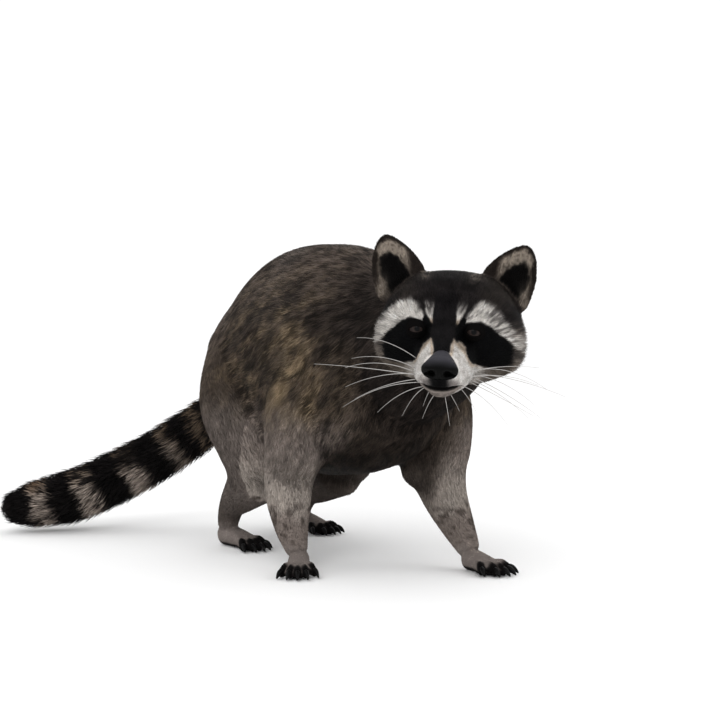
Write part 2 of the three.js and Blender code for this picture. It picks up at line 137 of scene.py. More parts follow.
def head_point(left, ahead, above):
    """Places in the frame, in metres, of head coordinates in millimetres: left of, ahead of and above the
    middle of the cheeks. The columns of HEAD_AXES are the head's own left, back and up."""
    local = np.stack(np.broadcast_arrays(left, -np.asarray(ahead, float), above), -1) * MM
    return local @ HEAD_AXES.T + HEAD_AT + PLAN_OFFSET


def head_coordinates(points):
    """The inverse of head_point: millimetres left, ahead and above."""
    local = (points - HEAD_AT - PLAN_OFFSET) @ HEAD_AXES / MM
    return local[:, 0], -local[:, 1], local[:, 2]


def curve_through(points, shares):
    """The centripetal Catmull-Rom curve through rows of numbers, at shares 0 to 1 of its course: each
    stretch is the cubic whose end slopes come from its neighbours, weighted by the square roots of their
    distances."""
    stretches = len(points) - 1
    course = np.clip(np.asarray(shares, float), 0, 1) * stretches
    first = np.minimum(course.astype(int), stretches - 1)
    w = (course - first)[:, None]
    rows = np.vstack([2 * points[0] - points[1], points, 2 * points[-1] - points[-2]])
    p0, p1, p2, p3 = (rows[first + k] for k in range(4))
    d0, d1, d2 = (np.maximum(((b - a) ** 2).sum(1), 1e-12)[:, None] ** 0.25
                  for a, b in ((p0, p1), (p1, p2), (p2, p3)))
    slope1 = ((p1 - p0) / d0 - (p2 - p0) / (d0 + d1) + (p2 - p1) / d1) * d1
    slope2 = ((p2 - p1) / d1 - (p3 - p1) / (d1 + d2) + (p3 - p2) / d2) * d1
    return (p1 + slope1 * w + (3 * (p2 - p1) - 2 * slope1 - slope2) * w ** 2
            + (2 * (p1 - p2) + slope1 + slope2) * w ** 3)


def unit(vectors):
    """Each row divided by its length."""
    return vectors / np.maximum(np.linalg.norm(vectors, axis=-1, keepdims=True), 1e-12)


def body_part(stations, sideways=(1, 0, 0), square=2.0, domes=(0, 0), coat=0.0, growth=1):
    """A rounded length of the body. Stations are (x, y, z, half width, half size up, half size down) in
    millimetres; square is the exponent of the section, domes the lengths of its rounded ends, coat the
    depth of hair over it, and growth says whether hair lies along (1) or against (-1) the order of the
    stations."""
    rows = np.array(stations, float) * MM
    return {"at": rows[:, :3] + PLAN_OFFSET, "size": rows[:, 3:6], "sideways": np.array(sideways, float),
            "square": square, "domes": np.array(domes) * MM, "coat": coat * MM, "growth": growth}


def sections(part, shares):
    """Centres, tangents, across and upward directions and half sizes of a part's sections at shares of its
    spine."""
    centre = curve_through(part["at"], shares)
    step = 1e-4
    tangent = unit(curve_through(part["at"], np.asarray(shares) + step)
                   - curve_through(part["at"], np.asarray(shares) - step))
    across = unit(part["sideways"] - tangent * (tangent @ part["sideways"])[:, None])
    return centre, tangent, across, np.cross(tangent, across), curve_through(part["size"], shares)


LEAST_SIZE = 0.4 * MM  # half size below which no section goes once the coat's depth is taken off


def rounded_body(part, around, rings, dome_rings=6):
    """The closed surface of a part under its coat. The point at share t and angle a is centre(t) + across
    side c + upward rise s, where c and s are the cosine and sine of a, each raised to the power 2 / square
    with its sign kept; quarter ellipses close the ends."""
    quarter = np.arange(1, dome_rings) / dome_rings * math.pi / 2
    domes = np.where(part["domes"] > 0, np.maximum(part["domes"] - part["coat"], MM), 0)
    start, end = (quarter if dome > 0 else quarter[:0] for dome in domes)
    shares = np.concatenate([np.zeros(len(start)), np.linspace(0, 1, rings), np.ones(len(end))])
    ahead = np.concatenate([-domes[0] * np.cos(start), np.zeros(rings), domes[1] * np.cos(end[::-1])])
    shrink = np.concatenate([np.sin(start), np.ones(rings), np.sin(end[::-1])])
    centre, tangent, across, upward, size = sections(part, shares)
    size = np.maximum(size - part["coat"], LEAST_SIZE) * shrink[:, None]
    centre = centre + tangent * ahead[:, None]
    angle = np.arange(around) / around * 2 * math.pi
    cosine, sine = (np.sign(v) * np.abs(v) ** (2 / part["square"]) for v in (np.cos(angle), np.sin(angle)))
    rise = np.where(sine > 0, size[:, 1:2], size[:, 2:3]) * sine
    wall = (centre[:, None] + across[:, None] * (size[:, :1] * cosine)[..., None]
            + upward[:, None] * rise[..., None])
    start_pole = centre[0] - tangent[0] * (domes[0] + ahead[0])
    end_pole = centre[-1] + tangent[-1] * (domes[1] - ahead[-1])
    return closed_tube(wall, start_pole, end_pole)


def closed_tube(wall, start_pole, end_pole):
    """Points, quads and triangles of a tube, from a grid (rings, around, 3), shut by a point at each end."""
    rings, around = wall.shape[:2]
    number = np.arange(rings * around).reshape(rings, around)
    beside = np.roll(number, -1, 1)
    quads = np.stack([number[:-1], beside[:-1], beside[1:], number[1:]], -1).reshape(-1, 4)
    first = np.full(around, rings * around)
    fans = np.concatenate([np.stack([beside[0], number[0], first], 1),
                           np.stack([number[-1], beside[-1], first + 1], 1)])
    return np.vstack([wall.reshape(-1, 3), start_pole, end_pole]), quads, fans


def head_station(ahead, widest, side, top, bottom):
    """A section of the head in millimetres: how far ahead, the level of its widest point, its half width,
    and its top and bottom levels."""
    x, y, z = (head_point(0, ahead, widest) - PLAN_OFFSET) / MM
    return x, y, z, side, top - widest, widest - bottom


def leg_parts(tag, upper, lower):
    """The upper and lower length of one leg, from the top down; upward sizes face forwards."""
    return {"upper_" + tag: body_part(upper, domes=(20, 22), coat=3.2),
            "lower_" + tag: body_part(lower, domes=(14, 8), coat=1.6)}


HEAD_SIDEWAYS = HEAD_AXES[:, 0]
parts = {
    "trunk": body_part([(0, 206, 198, 54, 48, 54), (0, 166, 200, 82, 76, 84), (0, 112, 203, 91, 98, 108),
                        (0, 46, 211, 98, 115, 129), (0, -14, 207, 99, 118, 125),
                        (0, -70, 204, 93, 113, 114), (0, -116, 206, 82, 101, 101),
                        (0, -150, 210, 66, 84, 84)],
                       square=2.02, domes=(26, 20), coat=3.5, growth=-1),
    "neck": body_part([(0, -118, 214, 66, 76, 80), (4, -160, 220, 62, 70, 76), (10, -200, 227, 56, 62, 66),
                       (8, -232, 231, 48, 50, 52)], coat=4.0, growth=-1),
    "skull": body_part([head_station(*row) for row in (
        (-54, 0, 46, 46, -46), (-34, -2, 60, 56, -44), (-12, -5, 64.5, 58, -42), (6, -7, 64.5, 54, -40),
        (18, -8, 59, 45, -39), (28, -8, 45, 33, -37), (35, -9, 27, 19, -32))],
        sideways=HEAD_SIDEWAYS, square=2.25, domes=(12, 4), coat=1.8, growth=-1),
    "muzzle": body_part([head_station(*row) for row in (
        (14, -10, 34, 30, -36), (34, -14, 27, 21, -40), (48, -18, 25, 12, -42), (60, -20, 23, 5, -42),
        (71, -19, 19, 1, -39), (78, -18, 14, -3, -33))],
        sideways=HEAD_SIDEWAYS, square=2.2, domes=(0, 3), coat=1.0, growth=-1),
    **leg_parts("fore_l", [(44, -84, 214, 30, 38, 42), (62, -92, 165, 41, 46, 46),
                           (66, -96, 120, 38, 39, 38), (61, -97, 93, 34, 34, 34)],
                [(66, -98, 100, 31, 32, 32), (72, -105, 70, 23.5, 25, 25), (79, -118, 43, 18, 18, 19),
                 (85, -129, 22, 13, 13, 14)]),
    **leg_parts("fore_r", [(-42, -80, 214, 30, 38, 42), (-61, -64, 165, 39, 46, 44),
                           (-65, -50, 122, 34, 40, 38), (-66, -40, 98, 28, 31, 31)],
                [(-67, -38, 106, 27, 30, 30), (-69, -40, 74, 24.5, 26, 25), (-71, -53, 42, 18, 19, 19),
                 (-70, -63, 22, 12.5, 13, 14)]),
    **leg_parts("hind_l", [(40, 146, 210, 42, 48, 40), (60, 124, 160, 44, 62, 54),
                           (58, 104, 118, 41, 56, 50), (51, 97, 81, 36, 42, 42)],
                [(48, 98, 80, 32, 35, 38), (43, 134, 60, 24, 25, 25), (39, 164, 43, 15, 16, 17),
                 (38, 180, 24, 12.5, 13, 13)]),
    **leg_parts("hind_r", [(-48, 124, 214, 46, 56, 50), (-72, 88, 165, 44, 66, 60),
                           (-73, 54, 120, 38, 50, 48), (-71, 32, 86, 32, 38, 38)],
                [(-71, 34, 84, 30, 32, 36), (-75, 70, 62, 22, 23, 25), (-78, 97, 43, 15, 15, 17),
                 (-78, 110, 24, 12.5, 13, 13)]),
    "tail": body_part([(-6, 194, 172, 22, 24, 24), (-56, 231, 127, 28, 28, 28), (-120, 259, 81, 30, 30, 30),
                       (-198, 283, 43, 31, 31, 31), (-244, 296, 32, 28, 28, 28),
                       (-266, 302, 29, 21, 21, 21)],
                      sideways=(0.2, 0.98, 0), domes=(0, 16), coat=7.0),
}

# Feet: a palm or sole with five toes that touch the floor. Palm and heel are lengths from the wrist or ankle,
# and toe is the length of a toe.
FORE_PAW = {"palm": 36, "heel": 2, "side": 12.5, "thick": 13, "toe": 19, "fan": 13}
HIND_PAW = {"palm": 48, "heel": 5, "side": 13.5, "thick": 14, "toe": 18, "fan": 12}
FEET = {"fore_l": (FORE_PAW, (86, -132), 12.5), "fore_r": (FORE_PAW, (-69, -67), -25),
        "hind_l": (HIND_PAW, (38, 180), 13), "hind_r": (HIND_PAW, (-77, 110), 15)}
TOES = (-2, -1, 0, 1, 2)  # from the animal's right to its left
TOE_SETBACK = (12, 3, 0, 2, 7)  # inner toe first
TOE_RADIUS = 4.1
TOE_ROOT_INSIDE = 4
FOOT_COAT = 0.8


def foot_frame(foot, spread=0):
    """The wrist or ankle over the floor, and the directions forwards and across, of a foot or of one of its
    toes spread by some degrees."""
    _, wrist, turn = FEET[foot]
    angle = math.radians(turn + spread)
    return (np.array([*wrist, 0.0]), np.array([math.sin(angle), -math.cos(angle), 0]),
            np.array([math.cos(angle), math.sin(angle), 0]))


def toe_line(foot, i):
    """Root point on the floor, direction and sideways direction of toe number i, in millimetres."""
    size = FEET[foot][0]
    wrist, forward, across = foot_frame(foot)
    setback = TOE_SETBACK[i if foot.endswith("l") else len(TOES) - 1 - i]
    spacing = (size["side"] - 3) / 2
    root = wrist + forward * (size["palm"] - TOE_ROOT_INSIDE - setback) + across * TOES[i] * spacing
    return (root, *foot_frame(foot, TOES[i] * size["fan"])[1:])


def stations_along(root, direction, rows):
    """Stations of a length that runs straight from a root: each row gives reach, height and half sizes."""
    return [(*(root + direction * reach)[:2], *rest) for reach, *rest in rows]


def foot_parts(foot):
    """The palm and the five toes of a foot as body parts."""
    size = FEET[foot][0]
    thick, half, toe = size["thick"], size["side"], size["toe"]
    wrist, forward, across = foot_frame(foot)
    palm = stations_along(wrist, forward, (
        (-size["heel"], thick, half - 2, 10, thick + 1), (size["palm"] * 0.4, thick - 1.5, half - 1, 8, 13),
        (size["palm"], 7, half + 1, 5, 8)))
    made = {"palm_" + foot: body_part(palm, sideways=across, domes=(6, 5), coat=FOOT_COAT)}
    for i in range(len(TOES)):
        root, direction, side = toe_line(foot, i)
        stations = stations_along(root, direction, (
            (-6, 7, TOE_RADIUS - 0.6, 5, 7.5), (toe * 0.3, 10, TOE_RADIUS - 0.5, 5.2, 10),
            (toe * 0.62, 7.2, TOE_RADIUS - 0.3, 4.6, 8), (toe - 4, 5.4, TOE_RADIUS, 4.8, 6)))
        made[f"toe_{foot}_{i}"] = body_part(stations, sideways=side, domes=(0, 4), coat=FOOT_COAT)
    return made


for foot in FEET:
    parts.update(foot_parts(foot))

# ---------------------------------------------------------------- ears
# Upright rounded leaves of thin gristle, hollow in front and bulging behind, furred on both sides. They
# grow out of the corners of the crown and share the one skin.

EAR_AHEAD = -14
EAR_CUP = 13
EAR_BACK = 15
EAR_RIM = 3.8
EAR_LEAN = 0.18
EAR_TURN = 0.22
EAR_FILL = 0.985
EAR_MIDDLE = np.array([52, 48])
EAR_SHIFT = {"l": (-1, -3), "r": (2.5, 0)}
SIDES = {"l": 1, "r": -1}
EAR_OUTLINE = np.array([(22, 48), (29, 63), (44, 77), (60, 83), (67, 78), (71, 64), (70, 46), (62, 26),
                        (48, 22), (33, 32)], float)


def ear_leaf(tag, around=96, steps=14):
    """The closed shell of one ear. At the share r of the way from its middle to its outline, its front lies
    EAR_CUP (1 - r squared) behind the outline's plane and its back EAR_RIM + EAR_BACK (1 - r squared); the
    plane leans back with height and turns back outwards."""
    aside, lift = EAR_SHIFT[tag]
    looped = np.vstack([EAR_OUTLINE[-2:], EAR_OUTLINE, EAR_OUTLINE[:3]])
    shares = (2 + np.arange(around) / around * len(EAR_OUTLINE)) / (len(looped) - 1)
    rim = curve_through(looped, shares)
    share = np.linspace(0, 1, steps + 1)[1:, None]
    out, up = np.moveaxis(EAR_MIDDLE + (rim - EAR_MIDDLE) * EAR_FILL * share[..., None], -1, 0)
    plane = EAR_AHEAD - EAR_TURN * (out - EAR_MIDDLE[0]) - EAR_LEAN * (up - EAR_MIDDLE[1])
    front, back = (head_point(SIDES[tag] * (out + aside), plane - depth - cup * (1 - share ** 2), up + lift)
                   for depth, cup in ((0, EAR_CUP), (EAR_RIM, EAR_BACK)))
    poles = head_point(SIDES[tag] * (EAR_MIDDLE[0] + aside),
                       EAR_AHEAD + np.array([-EAR_CUP, -EAR_RIM - EAR_BACK]), EAR_MIDDLE[1] + lift)
    points, *faces = closed_tube(np.concatenate([front, back[::-1]]), *poles)
    return (points, *(rows[:, ::-SIDES[tag]] for rows in faces))


# ---------------------------------------------------------------- hide
# One skin over the whole animal, with the lids' hollows, lips and toes in it. The rounded lengths are
# merged into a single closed surface, eased where one runs into the next, and left coarser where the coat
# hides it.

VOXEL = 1.5 * MM
SKIN_TRIANGLES = 180000
EASE_REACH = 9 * MM  # how far from a junction the surface is eased
EASE_TIMES = 60
SMOOTH_TIMES = 4
FOOT_TOP = 22 * MM  # below this the toes keep their shape


def add_mesh(name, points, *faces):
    """A mesh object from an array of points and arrays of faces with the same number of corners in each."""
    corners = np.concatenate([rows.ravel() for rows in faces]).astype(np.int32)
    counts = np.concatenate([np.full(len(rows), rows.shape[1]) for rows in faces])
    mesh = bpy.data.meshes.new(name)
    mesh.vertices.add(len(points))
    mesh.vertices.foreach_set("co", np.asarray(points, np.float32).ravel())
    mesh.loops.add(len(corners))
    mesh.loops.foreach_set("vertex_index", corners)
    mesh.polygons.add(len(counts))
    mesh.polygons.foreach_set("loop_start", np.concatenate([[0], np.cumsum(counts)[:-1]]).astype(np.int32))
    mesh.polygons.foreach_set("use_smooth", np.ones(len(counts), bool))
    mesh.update(calc_edges=True)
    made = bpy.data.objects.new(name, mesh)
    bpy.context.collection.objects.link(made)
    return made


def merged(shells):
    """Several (points, quads, triangles) as one."""
    starts = np.cumsum([0] + [len(shell[0]) for shell in shells[:-1]])
    return (np.vstack([shell[0] for shell in shells]),
            *(np.vstack([shell[k] + start for shell, start in zip(shells, starts)]) for k in (1, 2)))


def apply_modifiers(piece):
    """Replaces a piece's mesh by the mesh that its modifiers make of it."""
    view = bpy.context.evaluated_depsgraph_get()
    made = bpy.data.meshes.new_from_object(piece.evaluated_get(view))
    piece.modifiers.clear()
    old, piece.data = piece.data, made
    bpy.data.meshes.remove(old)


def read(rows, name, width, kind=np.float32):
    """One property of all the rows of a mesh's list, as an array with a given number of columns."""
    values = np.empty(len(rows) * width, kind)
    rows.foreach_get(name, values)
    return values.reshape(-1, width).astype(float if kind is np.float32 else kind)


def eased(values, edges, weight, times):
    """Moves each vertex's values towards the mean of its neighbours', by its weight, some times over."""
    count = len(values)
    near = np.concatenate([edges[:, 1], edges[:, 0]])
    here = np.concatenate([edges[:, 0], edges[:, 1]])
    share = (weight / np.maximum(np.bincount(here, minlength=count), 1))[:, None]
    keep = 1 - np.reshape(weight, (-1, 1))
    for _ in range(times):
        total = np.stack([np.bincount(here, values[near, k], count) for k in range(values.shape[1])], 1)
        values = values * keep + total * share
    return values


def lie_to(part, points, samples=28):
    """How points lie to a part: the share along its spine, the angle round it, the distance off its surface
    (the superellipse radius less one, times the smaller half size), the way along it past its start in
    metres, and the spine's direction."""
    centre, tangent, across, upward, size = sections(part, np.linspace(0, 1, samples))
    gap = (centre ** 2).sum(1) - 2 * points @ centre.T
    near = gap.argmin(1)
    away = points - centre[near]
    axial = (away * tangent[near]).sum(1)
    spacing = np.linalg.norm(np.diff(centre, axis=0), axis=1)
    reach = np.concatenate([[0], np.cumsum(spacing)])
    step = np.append(spacing, spacing[-1])[near]
    course = np.clip(near + axial / step, 0, samples - 1)
    past = np.abs(near + axial / step - course) * step
    wide, up, down = (np.interp(course, np.arange(samples), size[:, k]) for k in range(3))
    a, b = (away * across[near]).sum(1), (away * upward[near]).sum(1)
    tall = np.where(b > 0, up, down)
    square = part["square"]
    radius = ((np.abs(a) / wide) ** square + (np.abs(b) / tall) ** square) ** (1 / square)
    dome = np.maximum(np.where(course < samples / 2, *part["domes"]), 6 * MM)
    radius = np.hypot(radius, past / dome)
    return (course / (samples - 1), np.arctan2(b / tall, a / wide), (radius - 1) * np.minimum(wide, tall),
            reach[near] + axial, tangent[near])


def ramp(value, low, high):
    """0 below low, 1 above high, and a straight line between."""
    return np.clip((value - low) / (high - low), 0, 1)


def soft_spot(x, z, middle_x, middle_z, width, height):
    """A bell-shaped bump of height 1: exp(-(x / width) squared - (z / height) squared) about its middle."""
    return np.exp(-((x - middle_x) / width) ** 2 - ((z - middle_z) / height) ** 2)


MOUTH_LEVEL = -28.0  # at the front, falling towards the corners
MOUTH_CORNER = 44.0
MOUTH_DEEP = 3.4

# Bumps and hollows of the face in millimetres: height, middle to the side and above, and half sizes. In
# order: brow ridge, eye hollow, cheekbone and the dip of the forehead.
FACE_BUMPS = ((2.2, 27, 23, 13, 6), (-1.6, 24, 12, 8.5, 6), (1.4, 34, -6, 13, 9), (-0.8, 0, 30, 7, 14))


def mouth_line(side, ahead):
    """Level of the closed lips: lowest in the middle of the front, a little higher at the sides of the
    muzzle, and falling back to the corner."""
    return MOUTH_LEVEL + 1.6 * ramp(side, 0, 14) ** 2 - 0.10 * np.clip(68 - ahead, 0, 30)


def mouth_depth(left, ahead, above):
    """How far inside the mouth's slit a place is, from 0 outside to 1 in its middle."""
    side = np.abs(left)
    half_open = np.interp(ahead, (MOUTH_CORNER, 60, 76), (0.4, 0.9, 2.1))
    half_open = half_open * np.interp(side, (12, 17), (1, 0.2))
    slit = np.clip(1.25 - np.abs(above - mouth_line(side, ahead)) / half_open, 0, 1)
    return slit * ramp(ahead, MOUTH_CORNER, MOUTH_CORNER + 5) * (above < -18)


def face_relief(points, normals):
    """The skin's points drawn in round the chin, then moved for brows, eye hollows, cheekbones, whisker
    pads, the cleft of the lip, the mouth, the seat of the nose and the roots of the ears. Each is a soft
    bump in millimetres along the normal, given in the head's own coordinates."""
    left, ahead, above = head_coordinates(points)
    narrowed = ramp(-above, 21, 35) * ramp(ahead, 40, 58)
    left, above = left * (1 - 0.26 * narrowed), above + 2.6 * narrowed
    points = head_point(left, ahead, above)
    side = np.abs(left)
    front = ramp(ahead, 5, 17) * (np.abs(above) < 60)
    rise = sum(height * soft_spot(side, above, *spot) for height, *spot in FACE_BUMPS)
    whisker_pad = ramp(ahead, 45, 55) * soft_spot(side, above, 17, -22, 7, 7)
    lip_cleft = ramp(ahead, 70, 76) * soft_spot(left, above, 0, -23, 1.6, 6)
    rise += 2.0 * whisker_pad - 1.2 * lip_cleft - MOUTH_DEEP * mouth_depth(left, ahead, above)
    behind_nose = 1 - np.hypot(side / 12.5, (above + 9.5) / 9.5)
    rise -= 6.0 * ramp(behind_nose, 0, 0.25) * ramp(ahead, 64, 70)
    ear_root = soft_spot(side, ahead, 30, 0, 12, 18) * ramp(above, 30, 42)
    rise = rise * front + 2.0 * ear_root
    return points + normals * (rise * MM)[:, None]


EYE_SPACING = 47.5
EYE_AHEAD = 33.0
EYE_ABOVE = 12.0
EYE_ASIDE = -1.4  # left of the head's middle line, so the pair sits a little to its right
EYE_RADIUS = 7.4
EYE_OUTWARDS = 0.10
EYE_UPWARDS = 0.04


def eye_axes(left):
    """The middle of an eye, and its directions outwards, up and forwards, in the frame. The eyes look
    slightly outwards from the head's own front."""
    middle = head_point(left * EYE_SPACING / 2 + EYE_ASIDE, EYE_AHEAD, EYE_ABOVE)
    forward = unit(HEAD_AXES @ np.array([left * EYE_OUTWARDS, -1, EYE_UPWARDS]))
    outward = unit(HEAD_AXES @ np.array([left, EYE_OUTWARDS, 0]))
    outward = unit(outward - forward * (outward @ forward))
    upward = np.cross(forward, outward) * -left
    return middle, outward, upward, forward


LID_RADIUS = EYE_RADIUS + 0.8
LID_TURN = 6.8
LID_SLOPE = 1.25
LID_BRIM = 7.6
HOLLOW_RADIUS = 15
HOLLOW_RISE = 1.5
HOLLOW_DEPTH = 1.7


def lid_height(radius):
    """How far ahead of the eye's middle the lids lie, in millimetres, at a distance from the eye's axis: a
    sphere over the eye, running out in a straight slope beneath the face."""
    inside = np.sqrt(np.maximum(LID_RADIUS ** 2 - np.minimum(radius, LID_TURN) ** 2, 0))
    return inside - LID_SLOPE * np.maximum(radius - LID_TURN, 0)


def hollow_for_eye(points, left):
    """Sinks the skin behind the lids, so that nothing covers the eye: out to a brim the floor of the hollow
    lies under the lids, and past it the floor rises in a straight slope to meet the face."""
    middle, outward, upward, forward = eye_axes(left)
    away = (points - middle) / MM
    out, up, depth = away @ outward, away @ upward, away @ forward
    radius = np.hypot(out, up)
    floor_depth = (lid_height(np.minimum(radius, LID_BRIM)) - HOLLOW_DEPTH
                   + HOLLOW_RISE * np.maximum(radius - LID_BRIM, 0))
    sink = np.where((radius < HOLLOW_RADIUS) & (depth > -8), np.maximum(depth - floor_depth, 0), 0)
    return points - forward * (sink * MM)[:, None]


shells = [rounded_body(part, *((24, 12) if name.startswith(("toe", "palm")) else (72, 60)))
          for name, part in parts.items()]
skin = add_mesh("skin", *merged(shells + [ear_leaf(tag) for tag in SIDES]))
remesh = skin.modifiers.new("one_surface", "REMESH")
remesh.mode, remesh.voxel_size = "VOXEL", VOXEL
apply_modifiers(skin)

points = read(skin.data.vertices, "co", 3)
edges = read(skin.data.edges, "vertices", 2, np.int32)
off = np.sort(np.stack([np.abs(lie_to(part, points)[2] + part["coat"]) for name, part in parts.items()
                        if not name.startswith("toe")], 1), 1)
above_foot = ramp(points[:, 2], FOOT_TOP, FOOT_TOP + 20 * MM)
_, head_ahead, head_above = head_coordinates(points)
on_face = ramp(head_ahead, 2, 12) * (head_above > -60)
join = np.exp(-(off[:, 1] / EASE_REACH) ** 2) * above_foot
points = eased(points, edges, 0.5 * join * (1 - 0.8 * on_face), EASE_TIMES)
points = eased(points, edges, 0.18 + 0.32 * above_foot, SMOOTH_TIMES)
points[:, 2] = np.maximum(points[:, 2], 0)


def set_points(mesh, points):
    """Moves a mesh's vertices to the rows of an array."""
    mesh.vertices.foreach_set("co", np.asarray(points, np.float32).ravel())
    mesh.update()


set_points(skin.data, points)
points = face_relief(points, read(skin.data.vertex_normals, "vector", 3))
for left in (-1, 1):
    points = hollow_for_eye(points, left)
points = eased(points, edges, 0.5 * (on_face > 0), 2)
set_points(skin.data, points)

# The coat hides the body's skin, so it is thinned there; the face, ears and feet keep every facet.
bare = (on_face > 0.2) | ((points[:, 2] < 24 * MM) & (points[:, 1] < 0.2)) | (head_above > 62)
thin = skin.vertex_groups.new(name="thinned")
thin.add(np.flatnonzero(~bare).tolist(), 1.0, "REPLACE")
thinning = skin.modifiers.new("thinning", "DECIMATE")
thinning.ratio = SKIN_TRIANGLES / (2 * len(skin.data.polygons))
thinning.vertex_group = "thinned"
apply_modifiers(skin)

# ---------------------------------------------------------------- colours of the coat
# Brown-grey over the back with buff tips on the flanks, grey on the legs, a black mask between pale brows
# and a pale muzzle, and a tail ringed in black. The hide under the hair carries the same markings.


def noise(points, cell, seed):
    """Smooth random numbers from 0 to 1 over space: random values at the corners of a lattice of the given
    cell, joined by the smooth step 3 u^2 - 2 u^3 along each axis."""
    at = np.asarray(points) / cell
    low = np.floor(at).astype(np.int64)
    u = at - low
    u = u * u * (3 - 2 * u)
    total = 0
    for corner in range(8):
        step = np.array([corner & 1, corner >> 1 & 1, corner >> 2 & 1])
        x, y, z = (low + step).T
        mixed = (x * 73856093 ^ y * 19349663 ^ z * 83492791 ^ seed * 2654435761) & 0x7FFFFFFF
        mixed = (mixed ^ mixed >> 13) * 1274126177 & 0x7FFFFFFF
        value = (mixed ^ mixed >> 16) % 65536 / 65535
        total = total + value * np.prod(np.where(step == 1, u, 1 - u), axis=1)
    return total


def step_up(value, low, high):
    """0 below low, 1 above high, and the smooth step between."""
    u = ramp(value, low, high)
    return u * u * (3 - 2 * u)


def step_down(value, low, high):
    """1 below low, 0 above high, and the smooth step between."""
    return 1 - step_up(value, low, high)


def over(under, colour, share):
    """A colour laid over others by a share from 0 to 1: under + (colour - under) share."""
    return under + (np.asarray(colour, float) - under) * np.asarray(share)[:, None]


# Colours in display values from 0 to 255. The dark belly and throat colours are painted shade under the body,
# between the legs and under the head; the back's colour is the coat's own brown-grey lightened by a painted
# sheen.
HAIR = {
    "back": (94, 84, 77), "flank": (70, 61, 53), "buff": (140, 122, 97), "belly": (40, 34, 30),
    "shoulder": (41, 36, 34), "throat_shade": (33, 28, 26), "grey": (124, 114, 108), "cuff": (160, 151, 143),
    "mottle": (80, 72, 67), "foot": (128, 119, 114), "toe": (14, 12, 12),
    "crown": (33, 30, 30), "stripe": (25, 23, 24), "bridge": (22, 21, 22), "mask": (6, 6, 7),
    "brow": (218, 213, 207), "cheek": (126, 117, 109), "jaw": (84, 76, 68), "muzzle": (216, 211, 206),
    "tan": (152, 122, 90), "lip": (118, 111, 109), "chin": (132, 123, 117), "mouth": (5, 4, 4),
    "ear_edge": (34, 29, 26), "ear_band": (150, 139, 127), "ear_deep": (7, 6, 6), "ear_back": (34, 29, 27),
    "ring_dark": (15, 13, 13), "ring_grey": (140, 129, 120), "ring_brown": (98, 84, 70),
    "ring_rust": (126, 92, 64),
}


def layered(ground, *layers):
    """Colours of HAIR laid in order over a ground, each given by its name and its share at every point. The
    ground is a row of colour for each point, or the name of one colour."""
    paint = np.array(HAIR[ground], float) if isinstance(ground, str) else ground
    for name, share in layers:
        paint = over(paint, HAIR[name], share)
    return paint


# The brow's pale band and the mask's lower edge, as levels over the distance from the middle line. The
# wedges beside the forehead's stripe and the dark bridge of the nose, as distances over the level.
BROW_SIDE = (17, 19, 24, 30, 38, 45, 53, 62, 70)
BROW_TOP = (25, 27, 32.5, 35, 32.5, 28.5, 20, 9, 0)
BROW_LOW = (18.5, 19.5, 20.5, 20.6, 16.0, 9.5, 3.0, -8, -20)
MASK_SIDE = (9.5, 11, 17.5, 22, 27, 38, 48, 55, 60)
MASK_LOW = (9.5, 8.3, 1.4, -7.5, -15.5, -19, -18.5, -16, -11)
WEDGE_OUTER = ((17, 20, 28, 34), (11.2, 12.2, 16.8, 18.5))
WEDGE_INNER = ((17, 22, 36), (9.6, 8.9, 7.6))
BRIDGE_HALF = ((-3, 2, 6, 10, 16), (6.5, 6.8, 7.6, 9.2, 9.6))
MARKS_ASIDE = 2.2  # the upper face's markings sit this far to the right of its middle line
GRIZZLE = 0.55


